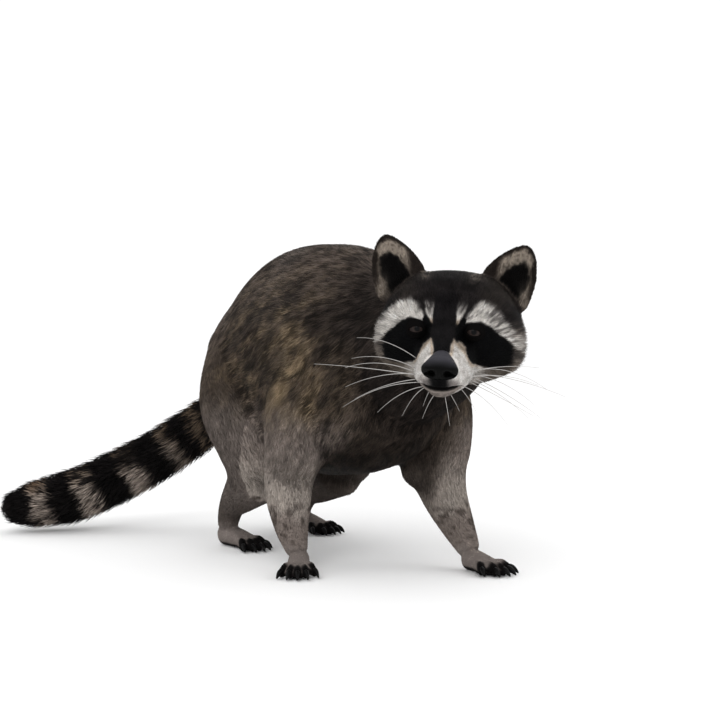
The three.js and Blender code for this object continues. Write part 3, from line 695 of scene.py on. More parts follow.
def head_colours(points):
    """Markings of the head in its own coordinates, in millimetres. Each edge is a smooth step on the
    distance from a line, frayed by noise; streaks of crown colour run through brow and cheek like
    spokes."""
    left, ahead, above = head_coordinates(points)
    left = left + MARKS_ASIDE * step_up(above, -8, 16)
    side = np.abs(left)
    fray = (noise(points, 3.2 * MM, 5) - 0.5) * 3.2 + (noise(points, 9 * MM, 6) - 0.5) * 2.5
    top, low, mask_low = (np.interp(side, *line) for line in (
        (BROW_SIDE, BROW_TOP), (BROW_SIDE, BROW_LOW), (MASK_SIDE, MASK_LOW)))
    top = top - 3 * step_up(left, 34, 48)
    wedge_out, wedge_in, bridge_half = (np.interp(above, *line)
                                        for line in (WEDGE_OUTER, WEDGE_INNER, BRIDGE_HALF))
    mouth = mouth_line(side, ahead)
    spokes = np.stack([0.28 * np.hypot(side, above + 8), 46 * np.arctan2(above + 8, left), 0.1 * ahead], 1)
    streak = step_up(noise(spokes, 1.5, 9), 0.47, 0.65)

    ear_root = soft_spot(side, above, 22, 54, 6, 4) * step_up(noise(points, 2 * MM, 7), 0.25, 0.6)
    cheek = step_up(side + fray, 46, 56) * step_down(above + fray, 10, 22)
    cheek *= step_up(ahead + fray * 2, -26, -4) * step_up(above + fray, -46, -30)
    cheek *= (0.62 + 0.38 * noise(points, 5 * MM, 8)) * (1 - 0.5 * streak)
    band = step_up(side + fray * 0.4, 16.0, 18.4) * step_down(above - top + fray, -2.2, 2.4)
    band *= step_up(above - low + fray * 0.4, -0.6, 1.6) * step_up(ahead + fray, -12, 2)
    rough = step_up(above - top + 5 * fray / 3, -11, -1) * np.where(left > 0, 1, 0.45)
    rough += 0.9 * step_up(left, 28, 44)
    band *= (1 - GRIZZLE * streak * np.clip(rough, 0, 1)) * (1 - 0.35 * step_up(side, 55, 64))
    wedge = step_up(side - wedge_in + fray * 0.3, -0.5, 1.2)
    wedge *= step_down(side - wedge_out + fray * 0.4, -1.2, 1.2)
    wedge *= step_up(above, 16.5, 20) * step_down(above + fray * 1.2, 27, 36) * (ahead > 0)
    stripe = step_down(side + fray * 0.3, 6.5, 9.5) * (above > 0) * (ahead > 5)
    white = step_down(above - mask_low + fray * 0.4, -1.6, 0.6) * step_up(ahead, 18, 34)
    white *= (1 - step_up(side + fray, 25, 40) * 0.85) * step_up(above + fray * 0.5, -46, -33)
    bridge = step_down(side - bridge_half + fray * 0.3, -1.0, 1.0) * (above > -3) * (ahead > 20)
    edge = white * np.exp(-((above - mask_low + 1.8) / 1.6) ** 2) * step_up(30 - side, 0, 8)
    edge = np.maximum(edge, white * np.exp(-((side - bridge_half - 1.2) / 1.3) ** 2) * (above > -2))
    mask = step_up(side + fray * 0.3, 8.6, 11.5) * step_down(side + fray, 53, 57.5)
    mask *= step_down(above - np.where(side < 18, 24.5, low) + fray * 0.3, -1.2, 0.8)
    mask *= step_up(above - mask_low + fray * 0.4, -1.0, 1.2) * step_up(ahead, 8, 14) * (1 - wedge)
    front = step_up(ahead, 60, 70)
    lip = front * step_down(side + fray * 0.5, 12, 19) * step_down(above, -22, -17)
    cleft = front * step_down(side + 0.5 * fray, 4.5, 11.5) * step_down(above, -19, -16)
    chin = step_down(above - mouth, -2, 0) * step_up(ahead + fray, 50, 62)
    return layered(
        "crown",
        ("back", 0.35 * step_up(-ahead, -5, 30)),
        ("jaw", 0.35 * step_up(side + fray, 18, 40) * step_up(above, 24, 40)),
        ("ear_band", 0.7 * ear_root),
        ("jaw", step_up(-above + fray, 8, 22)),
        ("cheek", cheek),
        ("brow", band),
        ("brow", wedge * (0.92 - 0.5 * streak * step_up(above, 22, 31))),
        ("tan", 0.6 * wedge * step_down(above, 18, 24)),
        ("stripe", stripe * step_down(above, 36, 50)),
        ("muzzle", white),
        ("tan", 0.45 * edge),
        ("mask", mask),
        ("stripe", bridge),
        ("bridge", bridge * step_down(above, 0, 14)),
        ("lip", 0.8 * lip * step_up(above - mouth, -1, 1)),
        ("mask", 0.94 * cleft),
        ("chin", chin),
        # Painted shade under the jaw.
        ("throat_shade", step_down(above + fray, -44, -37) * step_down(ahead, 52, 66)),
        ("mouth", np.clip(1.4 * mouth_depth(left, ahead, above), 0, 1)))


def ear_place(points, tag):
    """Where points lie on an ear's leaf: outwards and up from the middle of its outline in millimetres, how
    far towards the outline as a share, and how far ahead of the outline's plane."""
    left, ahead, above = head_coordinates(points)
    aside, lift = EAR_SHIFT[tag]
    out = left * SIDES[tag] - aside - EAR_MIDDLE[0]
    up = above - lift - EAR_MIDDLE[1]
    plane = EAR_AHEAD - EAR_TURN * out - EAR_LEAN * up
    outline = EAR_OUTLINE - EAR_MIDDLE
    bearing = np.arctan2(outline[:, 1], outline[:, 0])
    order = np.argsort(bearing)
    reach = np.interp(np.arctan2(up, out), bearing[order], np.hypot(*outline.T)[order], period=2 * math.pi)
    return out, up, np.hypot(out, up) / reach, ahead - plane


def on_ear(points, tag):
    """Marks the points on an ear's leaf, clear of the skull."""
    out, up, share, depth = ear_place(points, tag)
    skull_off = lie_to(parts["skull"], points)[2]
    return (share < 1.12) & (np.abs(depth + 7) < 17) & (skull_off > 1.5 * MM)


def ear_colours(points, tag):
    """A dark rim and back, a pale inner band that is thickest at the tip, a black middle shaped as a
    leaning ellipse, and a tuft of pale hair low on its outer side."""
    out, up, share, depth = ear_place(points, tag)
    fray = (noise(points, 3 * MM, 11) - 0.5) * 0.16
    streak = noise(np.stack([out, 0.25 * up, depth], 1), 1.1, 13)
    deep = np.hypot((out + 2.2 - 0.42 * up) / 13.2, (up + 2) / 20.5)
    edge = 0.93 - 0.16 * step_up(out, 2, 12) * step_down(up, 10, 24)
    pale = step_down(share + 0.5 * fray, edge - 0.12, edge + 0.02)
    pale *= step_down(-out + 0.2 * up, 13, 20)
    pale *= 0.2 + 0.25 * step_up(up, -26, -12) + 0.65 * step_up(up, 2, 22)
    tuft = soft_spot(out, up, 10, -14, 5, 12) * (0.4 + streak) * step_up(up, -27, -15)
    front = layered("ear_edge",
                    ("ear_band", np.clip(pale * (0.35 + 1.15 * streak), 0, 1)),
                    ("ear_deep", step_down(deep + fray * 1.5, 0.86, 1.12)),
                    ("ear_band", 0.7 * tuft))
    back = layered("ear_back", ("ear_band", 0.45 * step_up(share + fray, 0.84, 1.0)))
    behind = step_down(depth + EAR_CUP * (1 - np.minimum(share, 1) ** 2), -3.4, -1.6)
    return over(front, back, behind)


# Middles and half widths of the tail's pale rings, and the level of its upper side, in millimetres and
# metres, both by the way along it from its root. The last row is how bright the rings are.
PALE_RINGS = ((294, 12), (240, 10.5), (181, 12), (128, 10), (88, 10), (52, 8))
TAIL_TOP = ((60, 110, 170, 250, 300), (0.150, 0.105, 0.070, 0.044, 0.036))
RING_LIGHT = ((60, 90, 140, 200, 300), (1.05, 0.85, 0.86, 1.04, 0.96))


def tail_colours(points, along):
    """Pale rings on black, with dark flecks that thicken over the top, and a rusty cast near the tip."""
    fleck = noise(points, 5 * MM, 21)
    along = along / MM + (noise(points, 7 * MM, 22) - 0.5) * 7
    pale = np.max([step_down(np.abs(along - middle), half - 4, half + 4) for middle, half in PALE_RINGS], 0)
    upside = step_up(points[:, 2] - np.interp(along, *TAIL_TOP), 0.002, 0.026)
    light = layered("ring_grey",
                    ("ring_brown", np.clip(upside * 0.9 + step_up(150 - along, 0, 60) * 0.9, 0, 1)),
                    ("ring_rust", 0.7 * upside * step_up(along, 275, 300)))
    light *= np.interp(along, *RING_LIGHT)[:, None]
    dark_fleck = step_up(fleck, 0.62 - 0.36 * upside, 0.72 - 0.36 * upside)
    return over(np.array(HAIR["ring_dark"], float), light, pale * (1 - 0.85 * dark_fleck))


def drawn_out(x, y, z):
    """Places squeezed along the lie of the flank's hair, so that noise over them runs in streaks."""
    return np.stack([x, 0.35 * (0.8 * y - 0.6 * z), 0.6 * y + 0.8 * z], 1)


def body_colours(points):
    """Trunk, neck and legs, from height, place along the body and noise: buff tips behind the shoulder and
    along the flank, a lighter top to the back that is partly a painted sheen, dark before the shoulder,
    painted shade under the chest and on the front of the neck, grey low on the shoulders."""
    x, y, z = ((points - PLAN_OFFSET) / MM).T
    side = np.abs(x)
    patch = noise(points, 42 * MM, 31)
    cloud = noise(points, 17 * MM, 34)
    streaks = drawn_out(x, y, z)
    sweep = noise(streaks, 9, 35)
    fleck = noise(streaks, 3.4, 32)
    buff = soft_spot(y, z, -66, 220, 88, 66) * 0.9 + 0.4 * step_up(side, 55, 85)
    buff *= step_up(0.1 * patch + 0.15 * cloud + 0.35 * sweep + 0.4 * fleck, 0.38, 0.64)
    dark = 0.3 * noise(points, 30 * MM, 33) + 0.4 * noise(streaks, 12, 37) + 0.3 * fleck
    dark = step_up(dark, 0.46, 0.64) * step_up(z, 110, 160)
    dark *= (1 - 0.6 * step_up(z, 240, 290)) * (1 - 0.5 * step_up(y, 40, 110))
    arm = soft_spot(y, z, -88, 168, 42, 36) * step_up(-x, 60, 80)
    aside = np.where(x > 0, x - 26, -x) + 12 * (cloud - 0.5)
    return layered(
        "flank",
        # The top of the back is lighter: the coat's own brown-grey with a painted sheen.
        ("back", step_up(z + 30 * (patch - 0.5), 225, 300)),
        ("buff", np.clip(buff, 0, 1) * 0.64),
        ("back", 0.9 * step_up(y, 50, 120) * step_up(z, 150, 200)),
        ("shoulder", 0.62 * dark),
        ("buff", 0.95 * arm * step_up(cloud, 0.15, 0.6)),
        ("grey", 0.8 * step_down(z + 20 * (patch - 0.5), 122, 172) * step_up(aside, 34, 58)),
        ("shoulder", 0.78 * step_up(-y + 22 * (cloud - 0.5), 92, 146) * step_up(z, 200, 240)),
        # Painted shade under the chest and belly, in the dark underside colour.
        ("belly", 0.9 * step_down(z + 16 * (cloud - 0.5), 112, 160) * step_down(side, 34, 60)),
        # Painted shade on the front of the neck under the head.
        ("throat_shade", 0.8 * step_up(-y, 144, 180) * step_down(z, 195, 225)))


def leg_colours(points, foot):
    """Grey from the shoulder or hip down, a paler cuff below the elbow, dark mottling above the foot, black
    toes, and painted shade on the side that faces the other leg."""
    x, y, z = ((points - PLAN_OFFSET) / MM).T
    fray = (noise(points, 12 * MM, 41) - 0.5) * 16
    speckle = step_up(noise(points * np.array([1, 1, 1.8]), 6 * MM, 42), 0.56, 0.74)
    fore = foot.startswith("fore")
    # Painted shade on the side of the leg that faces the other leg: less grey and cuff there, and the dark
    # underside colour over it.
    facing_leg_shade = step_down(np.where(x > 0, x - 6, -x) + 0.3 * fray, 38, 58)
    height = z + fray + 22 * (x > 0)
    grey = np.array(HAIR["grey"]) * (1.06 if fore else 0.8)
    paint = over(body_colours(points), grey, step_down(height, 110, 185) * (0.9 - 0.5 * facing_leg_shade))
    if fore:
        cuff = step_down(z + fray * 0.6, 74, 128) * step_up(z + fray, 48, 66) * (0.95 - 0.7 * facing_leg_shade)
        freckles = step_down(z + fray, 60, 74) * speckle * step_up(z, 20, 34) * 0.8
        marks = (("cuff", cuff), ("mottle", freckles))
    else:
        marks = (("mottle", 0.5 * speckle * step_down(z, 60, 90)),
                 ("mottle", 0.6 * np.exp(-((z - 42) / 16) ** 2)))
    black = step_down(z, 3, 6) * 0.9
    for i in range(len(TOES)):
        root, direction, across = toe_line(foot, i)
        away = (points - PLAN_OFFSET) / MM - root
        forth, aside = away @ direction + 0.2 * fray - 4 * fore, np.abs(away @ across)
        ridge = step_up(forth, 1, 7) * step_down(aside, 3.0, 4.6) * step_down(z, 14, 18)
        tip = step_up(forth, 9, 13) * (aside < 7) * (z < 26)
        black = np.max([black, ridge, tip], 0)
    return layered(paint, ("belly", 0.75 * facing_leg_shade * step_up(z, 50, 80)), *marks,
                   ("foot", step_down(z + fray * 0.3, 16, 32)), ("toe", black))


GROUPS = [name for name in parts if not name.startswith(("palm", "toe"))]
NECK_STARTS, NECK_ENDS = -42, -14  # where the head's markings fade in, ahead of the middle of the cheeks


def place_on_body(points):
    """For each point: the body part that it belongs to, and its angle, way along and hair direction there.
    Feet belong to the lower legs."""
    rows = {name: lie_to(part, points) for name, part in parts.items() if not name.startswith("toe")}
    names = list(rows)
    nearest = np.abs(np.stack([rows[name][2] + parts[name]["coat"] for name in names], 1)).argmin(1)
    grow = np.stack([rows[name][4] * parts[name]["growth"] for name in names], 1)
    pick = np.arange(len(points))
    owner = np.array([GROUPS.index(name.replace("palm", "lower")) for name in names])[nearest]
    home = np.stack([np.stack([rows[name][1], rows[name][3]], 1) for name in GROUPS], 1)[pick, owner]
    return owner, home[:, 0], home[:, 1], grow[pick, nearest]


def owned_by(owner, *starts):
    """Marks the points whose body part's name begins in one of the given ways."""
    return np.array([name.startswith(starts) for name in GROUPS])[owner]


def coat_colours(points, owner, along, leg):
    """The coat's colour, in linear light, at points on the hide. Leg is 1 on the legs and falls to 0 on the
    body round them."""
    paint = body_colours(points)
    tail = owned_by(owner, "tail")
    clear_of_root = step_up(along[tail] / MM, 50, 74)
    paint[tail] = over(paint[tail], tail_colours(points[tail], along[tail]), clear_of_root)
    x, y, z = (points - PLAN_OFFSET).T
    for foot in FEET:
        here = owned_by(owner, "lower_" + foot)
        paint[here] = leg_colours(points[here], foot)
    for foot in FEET:
        here = (leg > 0) & ~owned_by(owner, "tail", "lower_" + foot)
        here &= ((x > 0) == foot.endswith("l")) & ((y < 20 * MM) == foot.startswith("fore"))
        paint[here] = over(paint[here], leg_colours(points[here], foot), leg[here])
    headwards = head_coordinates(points)[1] + 14 * (noise(points, 9 * MM, 36) - 0.5)
    head_share = owned_by(owner, "skull", "muzzle", "neck") * step_up(headwards, NECK_STARTS, NECK_ENDS)
    here = head_share > 0
    paint[here] = over(paint[here], head_colours(points[here]), head_share[here])
    for tag in SIDES:
        here = on_ear(points, tag)
        paint[here] = ear_colours(points[here], tag)
    return linear(np.clip(paint, 0, 255))


def add_colours(mesh, colours):
    """Stores one linear colour for each vertex, under the name coat."""
    layer = mesh.attributes.new("coat", "FLOAT_COLOR", "POINT")
    rows = np.column_stack([colours, np.ones(len(colours))])
    layer.data.foreach_set("color", rows.astype(np.float32).ravel())


HIDE_DARKER = 0.8  # the hide's share of the hair's brightness
LEG_FADE_TIMES = 40

points = read(skin.data.vertices, "co", 3)
normals = read(skin.data.vertex_normals, "vector", 3)
edges = read(skin.data.edges, "vertices", 2, np.int32)
owner, angle, along, flow = place_on_body(points)
is_leg = owned_by(owner, "upper", "lower")[:, None].astype(float)
leg_share = eased(is_leg, edges, np.full(len(points), 0.5), LEG_FADE_TIMES)[:, 0]
add_colours(skin.data, coat_colours(points, owner, along, leg_share) * HIDE_DARKER)


def add_relief(material, texture, output, scale, strength, depth):
    """A fine grain in a finish: a texture over the object's own coordinates drives a bump of a given depth
    in metres."""
    nodes, links = material.node_tree.nodes, material.node_tree.links
    place, grain, relief = (nodes.new("ShaderNode" + kind) for kind in ("TexCoord", texture, "Bump"))
    grain.inputs["Scale"].default_value = scale
    relief.inputs["Strength"].default_value = strength
    relief.inputs["Distance"].default_value = depth
    links.new(place.outputs["Object"], grain.inputs["Vector"])
    links.new(grain.outputs[output], relief.inputs["Height"])
    links.new(relief.outputs["Normal"], nodes["Principled BSDF"].inputs["Normal"])
    return grain


def hair_material(name, roughness=0.62):
    """A hair or hide finish whose colour is the one stored at each vertex."""
    material = plain_material(name, (0.1, 0.1, 0.1), roughness, 0.05)
    nodes, links = material.node_tree.nodes, material.node_tree.links
    stored = nodes.new("ShaderNodeAttribute")
    stored.attribute_name = "coat"
    links.new(stored.outputs["Color"], nodes["Principled BSDF"].inputs["Base Color"])
    return material


def give(piece, material, slot, *nodes):
    """Gives a piece its material and its place in the frame: it rides the one body and may stand for CAD
    nodes. Its slot is not used."""
    piece.data.materials.clear()
    piece.data.materials.append(material)
    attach(piece, "root")
    if nodes:
        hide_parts(*nodes)


hide = hair_material("hide", 0.8)
add_relief(hide, "TexNoise", "Fac", 900, 0.5, 0.0006).inputs["Detail"].default_value = 3
paired_nodes = ("ear_", "upper_arm_", "forearm_", "forepaw_", "thigh_", "shank_", "hindpaw_")
give(skin, hide, "coat", "trunk", "neck", "head", "lower_jaw",
     *(part + side for part in paired_nodes for side in SIDES), "tail_1", "tail_2", "tail_3", "tail_4")

# ---------------------------------------------------------------- eyes
# Balls with a clear bulging front, set deep in the skull behind the lids: a dull brown iris, a round dark
# pupil and a wet shine. Each is one closed shell.

IRIS = 5.4
PUPIL = 2.3
BULGE = 0.5
GAZE = np.array([0.10, -0.976, 0.19])


def eyeball(tag, around=64, rings=40):
    """A ball with its poles on the line of sight. The front bulges by BULGE (1 - (r / iris) squared) inside
    the iris, and the colour goes by the distance r from the line of sight."""
    middle = eye_axes(SIDES[tag])[0]
    sight = unit(HEAD_AXES @ GAZE)
    side = unit(np.cross((0, 0, 1), sight))
    up = np.cross(sight, side)
    polar = np.linspace(0, math.pi, rings + 2)[1:-1]
    turn = np.arange(around) / around * 2 * math.pi
    away = np.sin(polar)[:, None] * EYE_RADIUS
    bulge = BULGE * np.maximum(1 - (away / IRIS) ** 2, 0) * (polar < 1.5)[:, None]
    deep = np.cos(polar)[:, None] * EYE_RADIUS + bulge
    wall = middle + MM * (away[..., None] * (np.cos(turn)[:, None] * side + np.sin(turn)[:, None] * up)
                          + deep[..., None] * sight)
    front, back = middle + sight * (EYE_RADIUS + BULGE) * MM, middle - sight * EYE_RADIUS * MM
    ball = add_mesh("eyeball_" + tag, *closed_tube(wall, front, back))
    places = read(ball.data.vertices, "co", 3)
    off = np.linalg.norm(np.cross((places - middle) / MM, sight), axis=1)
    iris = linear((40, 33, 31)) * (0.75 + 0.5 * noise(places, 0.7 * MM, 51)[:, None])
    colours = iris * (1 - 0.55 * step_up(off, IRIS - 1.6, IRIS))[:, None]
    colours = over(colours, linear((6, 6, 7)), step_down(off, PUPIL - 0.25, PUPIL + 0.25))
    colours = over(colours, linear((30, 24, 22)), step_up(off, IRIS - 0.3, IRIS + 0.2))
    add_colours(ball.data, colours)
    return ball


eye_finish = hair_material("eye_wet", 0.22)
wet = eye_finish.node_tree.nodes["Principled BSDF"].inputs
wet["Coat Weight"].default_value = 0.035
wet["Coat Roughness"].default_value = 0.04
for tag in SIDES:
    give(eyeball(tag), eye_finish, "eye", "eye_" + tag)

# ---------------------------------------------------------------- eyelids
# Bare black rims of skin round each eye: the upper lid hangs nearly straight over the eye, the lower one
# sags in a round curve, and both run out under the fur of the face.

LID_HALF_WIDTH = 5.9
LID_UPPER = 1.6
LID_LOWER = -3.2
LID_REACH = 9.6
LID_THICK = 0.35
LID_CREASE = 0.5
OUTER_CORNER_RISE = 0.10  # for each millimetre outwards


def eyelids(tag, around=120, steps=16):
    """A ring of surface. Its inner edge is a superellipse with a low upper half, on the eye; it runs over a
    rolled margin onto the lids' own sphere, and out to a circle under the face's skin."""
    middle, outward, upward, forward = eye_axes(SIDES[tag])
    turn = np.arange(around) / around * 2 * math.pi
    cosine, sine = np.cos(turn), np.sin(turn)
    flatness = np.where(sine > 0, 2.6, 2.0)
    edge_x = LID_HALF_WIDTH * np.sign(cosine) * np.abs(cosine) ** (2 / flatness)
    edge_y = np.where(sine > 0, LID_UPPER, -LID_LOWER) * np.sign(sine) * np.abs(sine) ** (2 / flatness)
    edge_y = edge_y + OUTER_CORNER_RISE * edge_x + LID_THICK * (1 - (edge_x / LID_HALF_WIDTH) ** 2)
    share = np.linspace(0, 1, steps)[:, None]
    x = edge_x + (LID_REACH * cosine - edge_x) * share
    y = edge_y + (LID_REACH * sine - edge_y) * share
    radius = np.hypot(x, y)
    margin = LID_THICK * np.exp(-(share / 0.10) ** 2)
    crease = LID_CREASE * np.exp(-((share - 0.45) / 0.12) ** 2) * (sine > 0)
    on_eye = np.sqrt(np.maximum(EYE_RADIUS ** 2 - radius ** 2, 0)) + 0.25
    lid = np.where(radius < EYE_RADIUS, np.maximum(lid_height(radius), on_eye), lid_height(radius))
    height = np.where(share == 0, on_eye - 0.1, lid + margin - crease)
    points = middle + MM * (x[..., None] * outward + y[..., None] * upward + height[..., None] * forward)
    tucked_in = points[:1] - forward * 1.5 * MM
    points = np.concatenate([tucked_in, points])
    number = np.arange((steps + 1) * around).reshape(steps + 1, around)
    beside = np.roll(number, -1, 1)
    quads = np.stack([number[:-1], beside[:-1], beside[1:], number[1:]], -1).reshape(-1, 4)
    return add_mesh("eyelids_" + tag, points.reshape(-1, 3), quads[:, ::-SIDES[tag]])


lid_finish = plain_material("lid_skin", linear((12, 11, 11)), 0.9, 0.0)
for tag in SIDES:
    give(eyelids(tag), lid_finish, "face_coat")

# ---------------------------------------------------------------- nose
# A pad of bare black leather over the end of the muzzle, broad at the nostrils and narrowing up the bridge,
# finely pebbled and a little wet, with a painted highlight over its top.


# Dents of the nose in millimetres towards the back of the head: depth, middle to the side and above, half
# sizes. In order: nostril, the wing over it, and the narrowing at the top.
NOSE_DENTS = ((6.5, 6.4, -14.6, 2.7, 2.5), (-1.0, 9.5, -9.5, 4.5, 3.0), (1.2, 16, -2, 5, 6))


def nose_relief(points):
    """The pad narrowed up the bridge, with nostrils, a slit out from each to the side, the rounded wings
    over them and the groove between, all as soft dents and bumps."""
    left, ahead, above = head_coordinates(points)
    left = left * (1 - 0.32 * step_up(above, -11, 1))
    points = head_point(left, ahead, above)
    side = np.abs(left)
    front = step_up(ahead, 68, 78)
    dent = sum(depth * soft_spot(side, above, *spot) for depth, *spot in NOSE_DENTS)
    dent += 3.2 * soft_spot(side, above + 0.25 * (side - 10), 10.8, -14.8, 3.4, 1.1)
    dent += 1.1 * soft_spot(left, above, 0, -18, 0.9, 6)
    return points + HEAD_AXES[:, 1] * (dent * front * MM)[:, None]


nose_part = body_part([head_station(60, -5, 9.0, 1.2, -12), head_station(70, -8, 12.6, 2.6, -18),
                       head_station(80.5, -11, 15.2, 0.2, -20.6)],
                      sideways=HEAD_SIDEWAYS, square=2.5, domes=(0, 5.5))
nose_points, *nose_faces = rounded_body(nose_part, 112, 36, 30)
nose = add_mesh("nose_leather", nose_relief(nose_points), *nose_faces)
nose_height = head_coordinates(read(nose.data.vertices, "co", 3))[2]
facing_up = read(nose.data.vertex_normals, "vector", 3)[:, 2]
# Painted highlight: the top of the pad and the facets that face up are lighter, the lower part near black.
nose_top_highlight = step_up(nose_height + 4 * facing_up, -10, 3)
add_colours(nose.data, over(linear((4, 4, 4)), linear((54, 53, 58)), nose_top_highlight))
nose_finish = hair_material("nose_leather", 0.4)
add_relief(nose_finish, "TexVoronoi", "Distance", 1100, 0.45, 0.0003)
give(nose, nose_finish, "nose_leather", "nose")

# ---------------------------------------------------------------- claws
# Five short curved black claws of horn on each foot, oval in section and tapering to a blunt point. They
# grow out of the toes' tips.


def rods(paths, wide, tall, sideways, around=10):
    """Closed rods along K paths of N points each. Every cross-section is an ellipse with half sizes wide
    along sideways and tall at right angles to it and the path. Returns points, quads and end fans for all
    of them."""
    count, steps = paths.shape[:2]
    tangent = unit(np.gradient(paths, axis=1))
    side = unit(sideways - tangent * (sideways * tangent).sum(-1, keepdims=True))
    up = np.cross(side, tangent)
    turn = np.arange(around) / around * 2 * math.pi
    ring = (np.cos(turn)[:, None] * side[:, :, None] * wide[..., None, None]
            + np.sin(turn)[:, None] * up[:, :, None] * tall[..., None, None]) + paths[:, :, None]
    return merged([closed_tube(ring[k], paths[k, 0], paths[k, -1] + tangent[k, -1] * tall[k, -1])
                   for k in range(count)])


CLAW_WIDE, CLAW_TALL = 2.5 * MM, 3.1 * MM  # half sizes at the root
CLAW_LENGTH = 8.8
CLAW_ROOT_INSIDE = 4.6
CLAW_ROOT_HEIGHT, CLAW_FALL = 7.0, 5.0

claw_finish = plain_material("claw_horn", linear((10, 9, 9)), 0.4, 0.08)
share = np.linspace(0, 1, 9)
claw_height = (CLAW_ROOT_HEIGHT - CLAW_FALL * share ** 1.8)[:, None] * np.array([0, 0, 1])
taper = np.broadcast_to(1 - 0.72 * share ** 2.2, (len(TOES), len(share)))
for foot in FEET:
    reach = (FEET[foot][0]["toe"] - CLAW_ROOT_INSIDE + CLAW_LENGTH * share)[:, None]
    paths, sides = [], []
    for i in range(len(TOES)):
        root, direction, side = toe_line(foot, i)
        paths.append((root + reach * direction + claw_height) * MM + PLAN_OFFSET)
        sides.append(np.broadcast_to(side, (len(share), 3)))
    half_sizes = (CLAW_WIDE * taper, CLAW_TALL * taper)
    claws = add_mesh("claws_" + foot, *rods(np.array(paths), *half_sizes, np.array(sides)))
    give(claws, claw_finish, "claw", *(f"claw_{foot}_{i + 1}" for i in range(len(TOES))))

# ---------------------------------------------------------------- whiskers
# Stiff pale bristles that grow from both sides of the muzzle and from the chin, thickest at the root, bowed
# and tapering.

# Root and tip as millimetres to the side and above the middle of the head, and how far the middle bows
# upwards.
WHISKERS = {
    "r": ((22, -9, 74, 4, 6), (22, -16, 77, -13, 6), (22, -19, 82, -21, 7), (21, -20, 108, -19, 3),
          (22, -20, 81, -37, 5), (20, -24, 72, -46, 4), (17, -27, 83, -55, 7), (14, -29, 52, -55, 5),
          (13, -30, 31, -56, 4), (10, -35, 15, -49, 1), (5, -36, 14, -57, 2)),
    "l": ((21, -16, 79, -10, 4), (21, -20, 79, -24, 6), (25, -24, 101, -41, 5), (25, -20, 85, -34, 8),
          (24, -25, 76, -49, 6), (22, -26, 72, -57, 5), (23, -27, 83, -61, 4), (17, -28, 57, -61, 6),
          (21, -28, 77, -56, 2), (4, -36, 9, -61, 1), (8, -35, 16, -49, 1), (15, -31, 30, -52, 2)),
}
WHISKER_THICK = 0.25
WHISKER_TAPER = 0.65

face_left, face_ahead, face_above = head_coordinates(points)
share = np.linspace(0, 1, 15)
paths, lengths = [], []
for tag in SIDES:
    for root_side, root_above, tip_side, tip_above, bow in WHISKERS[tag]:
        off = np.hypot(face_left - SIDES[tag] * root_side, face_above - root_above)
        off += 100 * (face_ahead < 30)
        outwards, upwards = tip_side - root_side, tip_above - root_above
        side = root_side + outwards * share
        above = root_above + upwards * share + bow * 4 * share * (1 - share)
        ahead = face_ahead[off.argmin()] - 1 + 0.25 * outwards * (share - 1.5 * share ** 2)
        paths.append(head_point(SIDES[tag] * side, ahead, above))
        lengths.append(math.hypot(outwards, upwards))
thick = (WHISKER_THICK + 0.0011 * np.array(lengths))[:, None] * (1 - WHISKER_TAPER * share) * MM
upright = np.broadcast_to(np.array([0, 0, 1.0]), (len(paths), len(share), 3))
whiskers = add_mesh("whiskers", *rods(np.array(paths), thick, thick, upright, around=6))
give(whiskers, plain_material("whisker_bristle", linear((168, 165, 162)), 0.5), "whisker")

# ---------------------------------------------------------------- coat
# Hair in thin solid locks rooted in the hide and lying over one another: long and lifted on the tail and
# cheeks, flat on the body, very short on the muzzle, ears and feet. Every lock is a closed blade lifted from
# the skin; on the tail it is bent at half its length.


def smooth_over_skin(values, times):
    """Values at the skin's vertices, evened out between neighbours."""
    return eased(values, edges, np.full(len(values), 0.5), times)


def flatten(vectors, normals):
    """Directions laid into the surface, with length 1."""
    return unit(vectors - normals * (vectors * normals).sum(1, keepdims=True) + 1e-9)


# Length in millimetres and lift of the hair on each kind of part.
HAIR_FORM = {"trunk": (13, 0.11), "neck": (11, 0.12), "skull": (7, 0.15), "muzzle": (3, 0.2),
             "upper_fore": (8, 0.1), "upper_hind": (10, 0.1), "lower_fore": (5, 0.12),
             "lower_hind": (6, 0.12), "tail": (15, 0.8)}
EAR_HAIR = (3.0, 0.12)
GROUND_PULL = 0.5  # how much the trunk's hair falls towards the ground
SWIRL, SWIRL_CELL = 0.9, 26 * MM
TOES_BELOW = 26 * MM  # under this the hair of a leg turns towards the toes
NOSE_TIP = head_point(0, 88, -8)

on_trunk, on_tail, on_neck, leg_low = (owned_by(owner, name) for name in ("trunk", "tail", "neck", "lower"))
on_head = owned_by(owner, "skull", "muzzle")
ears = {tag: on_ear(points, tag) for tag in SIDES}
either_ear = ears["l"] | ears["r"]
side = np.abs(face_left)

lie = flow - np.array([0, 0, GROUND_PULL]) * (on_trunk | on_neck)[:, None]
radiate = unit(points - NOSE_TIP)
radiate[:, 2] -= 0.3 * step_up(-face_above, 0, 20)
lie[on_head] = radiate[on_head]
for foot in FEET:
    here = owned_by(owner, "lower_" + foot) & (points[:, 2] < TOES_BELOW)
    share = step_down(points[here, 2], 12 * MM, TOES_BELOW)
    lie[here] += (foot_frame(foot)[1] * 1.6 - lie[here]) * share[:, None]
for tag, here in ears.items():
    aside, lift = EAR_SHIFT[tag]
    ear_root = head_point(SIDES[tag] * (EAR_MIDDLE[0] + aside - 8), EAR_AHEAD - 10,
                          EAR_MIDDLE[1] + lift - 34)
    lie[here] = unit(points[here] - ear_root)
lie = flatten(smooth_over_skin(unit(lie), 14), normals)
swirl = np.stack([noise(points, SWIRL_CELL, seed) for seed in (61, 62, 63)], 1) - 0.5
lie = flatten(lie + SWIRL * smooth_over_skin(swirl, 4), normals)

